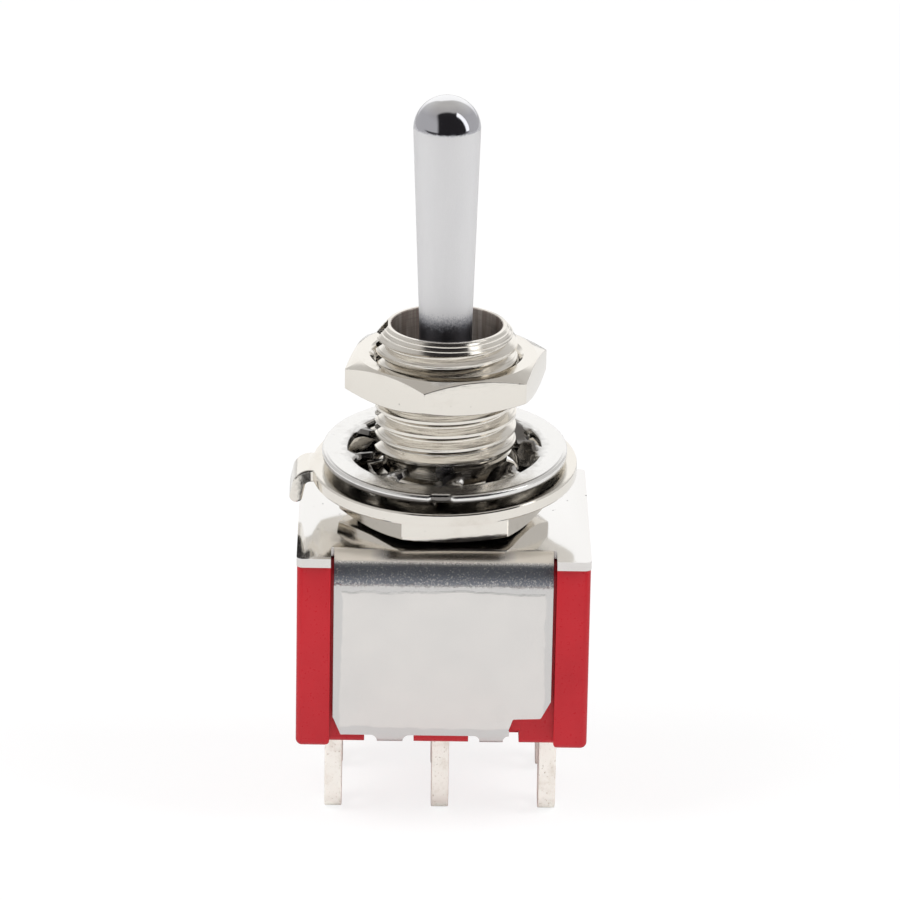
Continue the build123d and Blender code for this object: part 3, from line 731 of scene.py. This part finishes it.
def flap_folds(tree, x, y, z, grain):
    """The outside of the folds, dark partly for its stretched grain and partly as painted shade,
    and above it a beige band of painted reflection, left out at its middle.
    """
    outward = calc(tree, "ABSOLUTE", y)
    sideways = calc(tree, "ABSOLUTE", x)
    on_flap = spread(tree, sideways, FLAP_HALF_WIDTH + 0.06 * MM, FLAP_HALF_WIDTH + 0.02 * MM)
    ragged = calc(tree, "ADD", z, spread(tree, grain, 0.3, 0.7, -0.14 * MM, 0.14 * MM))
    # The outside of the fold, darkened partly for its grain and partly as painted shade.
    fold = calc(
        tree, "MULTIPLY",
        spread(tree, ragged, FOLD_LOW_Z - 0.03 * MM, FOLD_LOW_Z + 0.05 * MM),
        spread(tree, z, FOLD_HIGH_Z + 0.08 * MM, FOLD_HIGH_Z - 0.14 * MM),
        spread(tree, outward, FOLD_INNER_Y, FOLD_INNER_Y + 0.20 * MM),
        on_flap,
    )
    middle = calc(tree, "MULTIPLY", spread(tree, sideways, 3.2 * MM, 2.3 * MM),
                  spread(tree, z, -0.31 * MM, -0.24 * MM))
    # A beige, less metallic band at the top of the fold: painted reflection, left out at the
    # middle.
    painted_sheen_band = calc(
        tree, "MULTIPLY",
        spread(tree, z, -0.001 * MM, -0.012 * MM),
        spread(tree, z, BROW_LOW_Z, BROW_LOW_Z + 0.14 * MM),
        spread(tree, outward, FOLD_INNER_Y, FOLD_INNER_Y + 0.15 * MM),
        calc(tree, "SUBTRACT", 1.0, middle),
        on_flap,
    )
    return fold, painted_sheen_band


def pressed_sheet():
    """Bright nickel sheet: mirror top, satin flaps with a coined band, open grain and painted
    shade on the folds, and a painted beige reflection above them.
    """
    material, tree, shader = new_material("pressed_sheet")
    x, y, z = object_axes(tree)
    grain = speckle(tree, 13.0, detail=5, rough=0.75)
    band = coined_band(tree, x, z)
    fold, painted_sheen_band = flap_folds(tree, x, y, z, grain)
    level = spread(tree, z, -0.03 * MM, -0.01 * MM)
    cloud = spread(tree, speckle(tree, 0.35, detail=5, rough=0.6), 0.3, 0.75, 0.0, 0.5)
    pits = spread(tree, speckle(tree, 2.6, detail=3, rough=0.6), 0.70, 0.74)
    pits = calc(tree, "MULTIPLY", pits, level)
    sheet = blend_colours(tree, cloud, SHEET_NICKEL, SHEET_BAND)
    sheet = blend_colours(tree, band, sheet, SHEET_BAND)
    sheet = blend_colours(tree, level, sheet, PLATE_NICKEL)
    sheet = blend_colours(tree, pits, sheet, PIT_BROWN)
    sheet = blend_colours(tree, painted_sheen_band, sheet, PAINTED_SHEEN_BEIGE)
    tree.links.new(spread(tree, painted_sheen_band, 0.0, 1.0, 1.0, 0.25), shader.inputs["Metallic"])
    sparkle = calc(tree, "ADD", grain, spread(tree, z, -0.60 * MM, -1.20 * MM, -0.02, 0.03))
    # The dark fold colour, partly grain and partly painted shade, broken by the grain and thinning
    # lower down.
    grain_and_shade = calc(tree, "MULTIPLY", fold, spread(tree, sparkle, 0.55, 0.62, 1.0, 0.0))
    tree.links.new(blend_colours(tree, grain_and_shade, sheet, FOLD_GRAIN_SHADE), shader.inputs["Base Color"])
    satin = spread(tree, grain, 0.3, 0.7, 0.20, 0.28)
    mirror = calc(tree, "MULTIPLY", level, -0.15)
    rough = calc(tree, "ADD", satin, mirror, calc(tree, "MULTIPLY", fold, 0.08))
    tree.links.new(rough, shader.inputs["Roughness"])
    step = calc(tree, "MULTIPLY", band, -0.30)
    flap_side = spread(tree, calc(tree, "ABSOLUTE", y), 5.30 * MM, 5.38 * MM)
    skin = calc(tree, "MULTIPLY", flap_side, 0.05)
    coarse = calc(tree, "MULTIPLY", grain, calc(tree, "ADD", fold, skin))
    dents = calc(tree, "MULTIPLY", pits, -0.5)
    relief(tree, shader, calc(tree, "ADD", step, coarse, dents), 0.03)
    return material


folded_frame = rounded_copy("frame", "folded_frame", SHEET_EDGE)
finish_with(folded_frame, pressed_sheet(), "housing")


# ---- pivot pin and lever ----
# The lever is a turned bat, satin chromed with a polished dome. It swings on a hard pin
# pressed across the bushing.

CHROME_SATIN = (0.70, 0.695, 0.70, 1)
CHROME_BRIGHT = (0.53, 0.53, 0.565, 1)
# A lighter chrome for the dome's crown: a painted highlight.
CHROME_CROWN_HIGHLIGHT = (0.80, 0.80, 0.81, 1)
# A darker, bluer chrome for the lever down in the bushing: painted shade.
CHROME_PAINTED_SHADE = (0.30, 0.325, 0.385, 1)
LEVER_LEAN = math.radians(-0.5)
LEVER_SIDES = 96
STEM_RADIUS = 0.80 * MM
STEM_TOP_Z = -1.50 * MM
WAIST_RADIUS = 1.00 * MM
BALL_RADIUS = 2.20 * MM
BALL_HALF_SPAN = 38
PIVOT_Z = 3.0 * MM
THROAT = (1.14 * MM, 5.9 * MM)
NECK_RADIUS = 1.15 * MM
NECK_Z = 8.8 * MM
BAT_STEPS = 24
DOME_RADIUS = 1.456 * MM
SATIN_LOW_Z = 9.18 * MM
SATIN_FADE = 0.32 * MM
POLISH_RISE = 0.10 * MM
BAT_CREASE_OVER = 40


def satin_chrome(polish_z):
    """Blasted, pearly chrome, left polished above polish_z and down in the bushing. Down in the
    bushing its colour is darkened and blued as painted shade, and the dome's crown is lightened as
    a painted highlight.
    """
    material, tree, shader = new_material("satin_chrome")
    z = object_axes(tree)["Z"]
    grain = speckle(tree, 13.0, detail=5, rough=0.75)
    ragged = calc(tree, "ADD", z, spread(tree, grain, 0.35, 0.65, -0.05 * MM, 0.05 * MM))
    polished = spread(tree, ragged, polish_z - 0.04 * MM, polish_z + 0.04 * MM)
    spray = calc(tree, "ADD", z, spread(tree, grain, 0.30, 0.70, -SATIN_FADE, SATIN_FADE))
    # Down in the bushing: polished, and darkened as painted shade.
    polished_shaded_base = spread(tree, spray, SATIN_LOW_Z + SATIN_FADE, SATIN_LOW_Z - SATIN_FADE)
    bright = calc(tree, "MAXIMUM", polished, polished_shaded_base)
    mottle = spread(tree, speckle(tree, 0.7, stretch=(1, 1, 0.5), detail=4), 0.35, 0.7, 0.0, 0.12)
    satin = blend_colours(tree, mottle, CHROME_SATIN, CHROME_BRIGHT)
    # The dome's top turns lighter: a painted highlight.
    crown_highlight = spread(tree, z, polish_z + 0.75 * MM, polish_z + 1.15 * MM)
    shine = blend_colours(tree, crown_highlight, CHROME_BRIGHT, CHROME_CROWN_HIGHLIGHT)
    coat = blend_colours(tree, polished, satin, shine)
    tree.links.new(blend_colours(tree, polished_shaded_base, coat, CHROME_PAINTED_SHADE), shader.inputs["Base Color"])
    tree.links.new(spread(tree, bright, 0.0, 1.0, 0.45, 1.0), shader.inputs["Metallic"])
    matt = spread(tree, grain, 0.3, 0.7, 0.42, 0.56)
    gloss = calc(tree, "SUBTRACT", matt, calc(tree, "MULTIPLY", polished, 0.40))
    sheen = calc(tree, "MULTIPLY", calc(tree, "SUBTRACT", 0.30, gloss), polished_shaded_base)
    tree.links.new(calc(tree, "ADD", gloss, sheen), shader.inputs["Roughness"])
    blasted = calc(tree, "SUBTRACT", 1.0, bright)
    relief(tree, shader, calc(tree, "MULTIPLY", grain, blasted), 0.012)
    return material


def lever_outline(low_z, dome_z):
    """Stem, ball, neck, the bat's swelling taper, and the dome."""
    ball = []
    for degrees in range(-BALL_HALF_SPAN, BALL_HALF_SPAN + 1, 4):
        a = math.radians(degrees)
        ball.append((BALL_RADIUS * math.cos(a), PIVOT_Z + BALL_RADIUS * math.sin(a)))
    bat = []
    for k in range(BAT_STEPS + 1):
        share = k / BAT_STEPS
        bat.append((
            NECK_RADIUS + (DOME_RADIUS - NECK_RADIUS) * share,
            NECK_Z + (dome_z - NECK_Z) * share,
        ))
    dome = quarter((0, dome_z), DOME_RADIUS, 0, 20)[1:-1]
    return [
        (0, low_z), (STEM_RADIUS, low_z), (STEM_RADIUS, STEM_TOP_Z),
        (WAIST_RADIUS, STEM_TOP_Z + 0.15 * MM), (WAIST_RADIUS, ball[0][1] - 0.75 * MM),
        *ball, THROAT, *bat, *dome, (0, dome_z + DOME_RADIUS),
    ]


lever_low, lever_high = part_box("lever")
dome_centre = lever_high.z - DOME_RADIUS
bat_mesh = lathe("bat_lever", lever_outline(lever_low.z, dome_centre), LEVER_SIDES)
pivot = Vector((0, 0, PIVOT_Z))
lean = Matrix.Rotation(LEVER_LEAN, 4, "Y")
bat_mesh.transform(Matrix.Translation(pivot) @ lean @ Matrix.Translation(-pivot))
bat = blank_piece("bat_lever", bat_mesh)
shade(bat, BAT_CREASE_OVER)
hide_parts("lever")
finish_with(bat, satin_chrome(dome_centre + POLISH_RISE), "lever")
finish_with(frame["nodes"]["pivot_pin"], spring_wire, "housing")


# ---- lower nut, locking ring and lock washer ----
# The lower nut sets the height behind the panel. On it lie the keyed ring, blanked from
# sheet with a tab bent down, and a toothed washer in hardened steel under nickel.

WASHER_STEEL = (0.82, 0.81, 0.79, 1)
WASHER_SHADE = (0.58, 0.55, 0.52, 1)
NUT_FLATS = 8.00 * MM
NUT_THICKNESS = 1.55 * MM
NUT_BORE = 3.16 * MM
NUT_SINK = 0.20 * MM
NUT_CROWN = (3.90 * MM, math.radians(25))
NUT_SEAT = (3.42 * MM, math.radians(17))
NUT_ROUND = 0.04 * MM
NUT_COLUMNS = 24
CORNER_SHARE = 0.005
BACK_NUT_CORNER = 6.6
RING_EDGE = 0.07 * MM
RING_EYE = 4.35 * MM
WASHER_OUTER = 5.35 * MM
WASHER_INNER = 4.20 * MM
WASHER_EYE = 4.02 * MM
WASHER_SEAM = 5.20 * MM
WASHER_AXIS_Z = 2.76 * MM
WASHER_LEAN = (math.radians(3.7), math.radians(-0.7))
WASHER_THICK = 0.40 * MM
WASHER_ROUND = 0.13 * MM
WASHER_SIDES = 180
WASHER_CREASE_OVER = 50
NOTCH_ANGLE = -92.0
NOTCH_HALF_SPAN = 4.5
NOTCH_DEPTH = 0.17 * MM
TOOTH_COUNT = 9
FIRST_TOOTH = -88.0
TOOTH_ROOT = 4.32 * MM
TOOTH_TIP = 3.22 * MM
TOOTH_THICK = WASHER_THICK * 0.96
TOOTH_TWIST = 28.0
TOOTH_STEPS = 16
TOOTH_ACROSS = 8
# Half the tooth's width at its root, what it loses by the tip and what the neck takes, in mm.
TOOTH_HALF, TOOTH_TAPER, TOOTH_PINCH = 0.80, 0.10, 0.22
# Shares of the tooth's length: where a shape is or starts, and how far it reaches.
NECK_AT, NECK_SPREAD = 0.22, 0.16
TWIST_FROM, TWIST_OVER = 0.08, 0.34
TIP_FROM, TIP_OVER = 0.86, 0.16


def nut_column(reach, seat):
    """The nut's section where its side stands at reach. A face is its radius and its slope."""
    halves = []
    for face, slope in (seat, NUT_CROWN):
        turn = math.pi / 2 - slope
        edge = [
            (reach - NUT_ROUND * (1 - math.cos(turn * k / 3)), NUT_ROUND * math.sin(turn * k / 3))
            for k in range(4)
        ]
        rim = (edge[-1][0] - face) * math.tan(slope) + edge[-1][1]
        half = [(radius, rim - rise) for radius, rise in edge]
        halves.append(half + [(face, 0.0), (NUT_BORE + NUT_SINK, 0.0), (NUT_BORE, NUT_SINK)])
    lower, upper = halves
    return lower[::-1] + [(radius, NUT_THICKNESS - z) for radius, z in upper]


def hexagon_nut(name, low_z, corner_angle, seat=NUT_CROWN):
    """A thin hexagon nut, chamfered on both faces, built column by column round its axis."""
    form = bmesh.new()
    columns = []
    for side in range(6):
        for k in range(NUT_COLUMNS + 1):
            share = CORNER_SHARE + (1 - 2 * CORNER_SHARE) * k / NUT_COLUMNS
            angle = math.radians(corner_angle + 60 * side + 60 * share)
            reach = NUT_FLATS / 2 / math.cos(math.radians(60 * share - 30))
            columns.append([
                form.verts.new((radius * math.cos(angle), radius * math.sin(angle), low_z + z))
                for radius, z in nut_column(reach, seat)
            ])
    for near, far in zip(columns, columns[1:] + columns[:1]):
        for k in range(len(near)):
            n = (k + 1) % len(near)
            form.faces.new((near[k], far[k], far[n], near[n]))
    nut = blank_piece(name, closed_mesh(form, name))
    shade(nut)
    return nut


def tooth_mesh():
    """One tooth on the +X side: a slab whose width pinches at the neck and which twists there."""
    form = bmesh.new()
    skin = {}
    for side in (1, -1):
        for i in range(TOOTH_STEPS + 1):
            share = i / TOOTH_STEPS
            radius = TOOTH_ROOT + (TOOTH_TIP - TOOTH_ROOT) * share
            neck = math.exp(-((share - NECK_AT) / NECK_SPREAD) ** 2)
            half = (TOOTH_HALF - TOOTH_TAPER * share - TOOTH_PINCH * neck) * MM
            if share > TIP_FROM:
                half *= math.sqrt(max(0.0, 1 - ((share - TIP_FROM) / TIP_OVER) ** 2))
            turned = min(1.0, max(0.0, (share - TWIST_FROM) / TWIST_OVER))
            twist = math.radians(TOOTH_TWIST) * turned
            for j in range(TOOTH_ACROSS + 1):
                v = -1 + 2 * j / TOOTH_ACROSS
                thick = side * TOOTH_THICK / 2 * (1 - 0.45 * abs(v) ** 6)
                y = half * v * math.cos(twist) - thick * math.sin(twist)
                z = half * v * math.sin(twist) + thick * math.cos(twist)
                skin[side, i, j] = form.verts.new((radius, y, z))
    quads = []
    for i in range(TOOTH_STEPS):
        for j in range(TOOTH_ACROSS):
            quads.append(((1, i, j), (1, i, j + 1), (1, i + 1, j + 1), (1, i + 1, j)))
            quads.append(((-1, i, j), (-1, i + 1, j), (-1, i + 1, j + 1), (-1, i, j + 1)))
        for j in (0, TOOTH_ACROSS):
            quads.append(((1, i, j), (1, i + 1, j), (-1, i + 1, j), (-1, i, j)))
    for i in (0, TOOTH_STEPS):
        for j in range(TOOTH_ACROSS):
            quads.append(((1, i, j), (-1, i, j), (-1, i, j + 1), (1, i, j + 1)))
    for quad in quads:
        form.faces.new([skin[corner] for corner in quad])
    return closed_mesh(form, "washer_tooth")


def teeth_recipe(material, sizes, tooth):
    """Sets the tooth round the rim, evenly from the first tooth's angle, and joins the rim."""
    tree, given = recipe("tooth_ring", sizes)
    points = tree.nodes.new("GeometryNodeMeshLine")
    points.inputs["Offset"].default_value = (0, 0, 0)
    tree.links.new(given["Teeth"], points.inputs["Count"])
    lift = tree.nodes.new("GeometryNodeSetPosition")
    tree.links.new(points.outputs["Mesh"], lift.inputs["Geometry"])
    tree.links.new(vector_of(tree, z=given["Middle Z"]), lift.inputs["Position"])
    index = tree.nodes.new("GeometryNodeInputIndex")
    steps = calc(tree, "MULTIPLY", index.outputs[0], given["Step Angle"])
    spin = calc(tree, "ADD", given["First Angle"], steps)
    source = tree.nodes.new("GeometryNodeObjectInfo")
    source.inputs["Object"].default_value = tooth
    copies = tree.nodes.new("GeometryNodeInstanceOnPoints")
    tree.links.new(lift.outputs["Geometry"], copies.inputs["Points"])
    tree.links.new(source.outputs["Geometry"], copies.inputs["Instance"])
    tree.links.new(vector_of(tree, z=spin), copies.inputs["Rotation"])
    join = tree.nodes.new("GeometryNodeJoinGeometry")
    tree.links.new(copies.outputs["Instances"], join.inputs["Geometry"])
    tree.links.new(given["Blank"], join.inputs["Geometry"])
    end_recipe(tree, join.outputs["Geometry"], material)
    return tree


def washer_rim():
    """The washer's flat rim with rounded edges and a small witness notch at the front."""
    r = WASHER_ROUND
    outline = [
        *quarter((WASHER_OUTER - r, r), r, -90),
        *quarter((WASHER_OUTER - r, WASHER_THICK - r), r, 0),
        *quarter((WASHER_INNER + r, WASHER_THICK - r), r, 90),
        *quarter((WASHER_INNER + r, r), r, 180),
    ]
    mesh = lathe("washer_rim", outline, WASHER_SIDES, closed=True)
    for point in mesh.vertices:
        radius = math.hypot(point.co.x, point.co.y)
        offset = math.degrees(math.atan2(point.co.y, point.co.x)) - NOTCH_ANGLE
        if radius > WASHER_OUTER - 1.2 * r and abs(offset) < NOTCH_HALF_SPAN:
            point.co.x *= 1 - NOTCH_DEPTH / radius
            point.co.y *= 1 - NOTCH_DEPTH / radius
    return mesh


# Within the eye radius each plate is darkened, with a soft fringe outside it: painted shade on the
# ring under the teeth and on the teeth themselves. The washer's seam and torn lower edge are
# darkened on the front side only: painted shade.
sheet_nickel = plated("sheet_nickel", NICKEL, NICKEL_SHADE, 0.12, (1, 1, 1), 0.002, eye=RING_EYE)
nut_nickel = plated("nut_nickel", NICKEL, NICKEL_SHADE, 0.10, (0.35, 0.35, 2.0), 0.002)
washer_nickel = plated(
    "washer_nickel", WASHER_STEEL, WASHER_SHADE, 0.20, (1, 1, 1), 0.004,
    eye=WASHER_EYE, seam=WASHER_SEAM,
)
back_nut = hexagon_nut("back_nut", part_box("lower_nut")[0].z, BACK_NUT_CORNER, NUT_SEAT)
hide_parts("lower_nut")
finish_with(back_nut, nut_nickel, "lower_nut")
keyed_ring = rounded_copy("locking_ring", "keyed_ring", RING_EDGE)
finish_with(keyed_ring, sheet_nickel, "keyed_washers")

tooth = blank_piece("washer_tooth", tooth_mesh())
teeth_sizes = {
    "Teeth": TOOTH_COUNT,
    "First Angle": math.radians(FIRST_TOOTH),
    "Step Angle": 2 * math.pi / TOOTH_COUNT,
    "Middle Z": WASHER_THICK / 2,
}
toothed = blank_piece("toothed_washer", washer_rim())
follow(toothed, teeth_recipe(washer_nickel, teeth_sizes, tooth), teeth_sizes)
bpy.data.objects.remove(tooth)
lean_x = Matrix.Rotation(WASHER_LEAN[0], 4, "X")
lean_y = Matrix.Rotation(WASHER_LEAN[1], 4, "Y")
toothed.data.transform(Matrix.Translation((0, 0, WASHER_AXIS_Z)) @ lean_x @ lean_y)
shade(toothed, WASHER_CREASE_OVER)
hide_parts("lock_washer")
finish_with(toothed, washer_nickel, "keyed_washers")


# ---- upper nut ----
# The panel nut is the same thin hexagon, turned and faced on both sides, run down from
# the bushing's mouth.

PANEL_NUT_CORNER = 18.0

panel_nut = hexagon_nut("panel_nut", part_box("upper_nut")[0].z, PANEL_NUT_CORNER)
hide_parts("upper_nut")
finish_with(panel_nut, nut_nickel, "upper_nut")


# ---- floor, light and camera ----
# A white table under a softly lit white room, open and dark on the camera's side.

TABLE_HALF = 1.2
TABLE_FRONT_Y = -0.115
TABLE_SIDE_X = 0.14
TABLE_WHITE = (0.93, 0.93, 0.93, 1)
TABLE_GLOW = 1.08
TABLE_GLOW_SHARE = 0.75
ROOM_BACK = (1.12, 1.12, 1.12, 1)
ROOM_SIDE = (0.66, 0.655, 0.65, 1)
ROOM_CEILING = (0.52, 0.505, 0.49, 1)
ROOM_DARK = (0.028, 0.026, 0.028, 1)
STRIP_LIGHT = (1.8, 1.8, 1.8, 1)
ROOM_FILL = 0.51
# Each lamp's name, place, width and power.
LAMPS = (
    ("left_softbox", (-0.28, -0.10, 0.30), 0.22, 0.82),
    ("right_softbox", (0.30, -0.06, 0.26), 0.18, 0.64),
    ("front_softbox", (0.02, -0.45, 0.03), 0.20, 0.92),
)
CAMERA_ELEVATION = math.radians(20.433)
CAMERA_AZIMUTH = math.radians(-0.675)
CAMERA_ROLL = math.radians(0.996)
CAMERA_DISTANCE = 260 * MM
CAMERA_TARGET = Vector((0.23, 0.0, 2.955)) * MM
CAMERA_LENS = 238.12
CAMERA_SENSOR = 36.0


def mixed(tree, share, first, second):
    """A shader between two."""
    node = tree.nodes.new("ShaderNodeMixShader")
    for socket, value in zip(node.inputs, (share, first, second)):
        tree.links.new(value, socket)
    return node.outputs[0]


def table_top():
    """The white table, clear from below. Its shine on metal ends a little round the object."""
    low = cad_bounds[0].z
    mesh = bpy.data.meshes.new("table_top")
    h = TABLE_HALF
    mesh.from_pydata([(-h, -h, low), (h, -h, low), (h, h, low), (-h, h, low)], [], [(0, 1, 2, 3)])
    table = blank_piece("table_top", mesh)
    material, tree, shader = new_material("white_table")
    shader.inputs["Base Color"].default_value = TABLE_WHITE
    shader.inputs["Roughness"].default_value = 0.8
    shader.inputs["Specular IOR Level"].default_value = 0.0
    x, y, _ = object_axes(tree)
    in_front = spread(tree, y, TABLE_FRONT_Y + 0.006, TABLE_FRONT_Y - 0.006)
    aside = spread(tree, calc(tree, "ABSOLUTE", x), TABLE_SIDE_X - 0.01, TABLE_SIDE_X + 0.01)
    off_table = calc(tree, "MAXIMUM", in_front, aside)
    path = tree.nodes.new("ShaderNodeLightPath").outputs
    room = tree.nodes.new("ShaderNodeEmission")
    tree.links.new(blend_colours(tree, in_front, ROOM_SIDE, ROOM_DARK), room.inputs["Color"])
    glow = tree.nodes.new("ShaderNodeEmission")
    glow.inputs["Color"].default_value = (1, 1, 1, 1)
    glow.inputs["Strength"].default_value = TABLE_GLOW
    to_eye = calc(tree, "MULTIPLY", path["Is Camera Ray"], TABLE_GLOW_SHARE)
    top = mixed(tree, to_eye, shader.outputs[0], glow.outputs[0])
    hidden = calc(tree, "MULTIPLY", off_table, path["Is Glossy Ray"])
    top = mixed(tree, hidden, top, room.outputs[0])
    clear = tree.nodes.new("ShaderNodeBsdfTransparent").outputs[0]
    from_below = tree.nodes.new("ShaderNodeNewGeometry").outputs["Backfacing"]
    surface = mixed(tree, from_below, top, clear)
    tree.links.new(surface, tree.nodes["Material Output"].inputs["Surface"])
    mesh.materials.append(material)


def studio_world():
    """White to the eye. Metal sees a pale room with a dark camera side and a strip light."""
    world = bpy.data.worlds.new("studio")
    bpy.context.scene.world = world
    world.use_nodes = True
    tree = world.node_tree
    direction = tree.nodes.new("ShaderNodeTexCoord")
    split = tree.nodes.new("ShaderNodeSeparateXYZ")
    tree.links.new(direction.outputs["Generated"], split.inputs[0])
    x, y, z = split.outputs
    rightward = spread(tree, x, 0.30, 0.55)
    opening = calc(tree, "SUBTRACT", y, calc(tree, "MULTIPLY", rightward, 0.13))
    front = calc(
        tree, "MULTIPLY", spread(tree, opening, -0.22, -0.34), spread(tree, x, -0.60, -0.46)
    )
    edge = calc(
        tree, "ADD",
        calc(tree, "MULTIPLY", calc(tree, "MAXIMUM", x, 0.0), 0.35), 0.60,
        spread(tree, x, -0.20, -0.45, 0.0, 0.24),
    )
    back = spread(tree, calc(tree, "SUBTRACT", y, edge), -0.05, 0.05)
    strip = calc(
        tree, "MULTIPLY", spread(tree, y, -0.14, -0.17), spread(tree, y, -0.41, -0.37),
        spread(tree, x, 0.45, 0.50),
    )
    room = blend_colours(tree, spread(tree, z, 0.50, 0.90), ROOM_SIDE, ROOM_CEILING)
    room = blend_colours(tree, back, room, ROOM_BACK)
    room = blend_colours(tree, front, room, ROOM_DARK)
    room = blend_colours(tree, strip, room, STRIP_LIGHT)
    path = tree.nodes.new("ShaderNodeLightPath").outputs
    reflected = tree.nodes["Background"]
    tree.links.new(room, reflected.inputs["Color"])
    fill = tree.nodes.new("ShaderNodeBackground")
    fill.inputs["Strength"].default_value = ROOM_FILL
    backdrop = tree.nodes.new("ShaderNodeBackground")
    backdrop.inputs["Strength"].default_value = 1.0
    lit = mixed(tree, path["Is Diffuse Ray"], reflected.outputs[0], fill.outputs[0])
    shown = mixed(tree, path["Is Camera Ray"], lit, backdrop.outputs[0])
    tree.links.new(shown, tree.nodes["World Output"].inputs["Surface"])


def softbox(name, place, size, power):
    """A square lamp of this size, aimed at the bushing."""
    lamp = bpy.data.lights.new(name, "AREA")
    lamp.shape = "SQUARE"
    lamp.size = size
    lamp.energy = power
    holder = bpy.data.objects.new(name, lamp)
    holder.visible_glossy = False
    holder.location = Vector(place)
    holder.rotation_euler = (CAMERA_TARGET - holder.location).to_track_quat("-Z", "Y").to_euler()
    bpy.context.scene.collection.objects.link(holder)


def photographer():
    """The camera, above the front and a shade to the left."""
    back = Vector((
        math.sin(CAMERA_AZIMUTH) * math.cos(CAMERA_ELEVATION),
        -math.cos(CAMERA_AZIMUTH) * math.cos(CAMERA_ELEVATION),
        math.sin(CAMERA_ELEVATION),
    ))
    data = bpy.data.cameras.new("camera")
    data.lens = CAMERA_LENS
    data.sensor_width = CAMERA_SENSOR
    data.clip_start = 0.01
    data.clip_end = 10.0
    camera = bpy.data.objects.new("camera", data)
    camera.location = CAMERA_TARGET + CAMERA_DISTANCE * back
    camera.rotation_mode = "QUATERNION"
    level = (-back).to_track_quat("-Z", "Y")
    camera.rotation_quaternion = level @ Quaternion((0, 0, 1), CAMERA_ROLL)
    bpy.context.scene.collection.objects.link(camera)
    bpy.context.scene.camera = camera


table_top()
studio_world()
for lamp in LAMPS:
    softbox(*lamp)
photographer()
bpy.context.scene.view_settings.view_transform = "Standard"
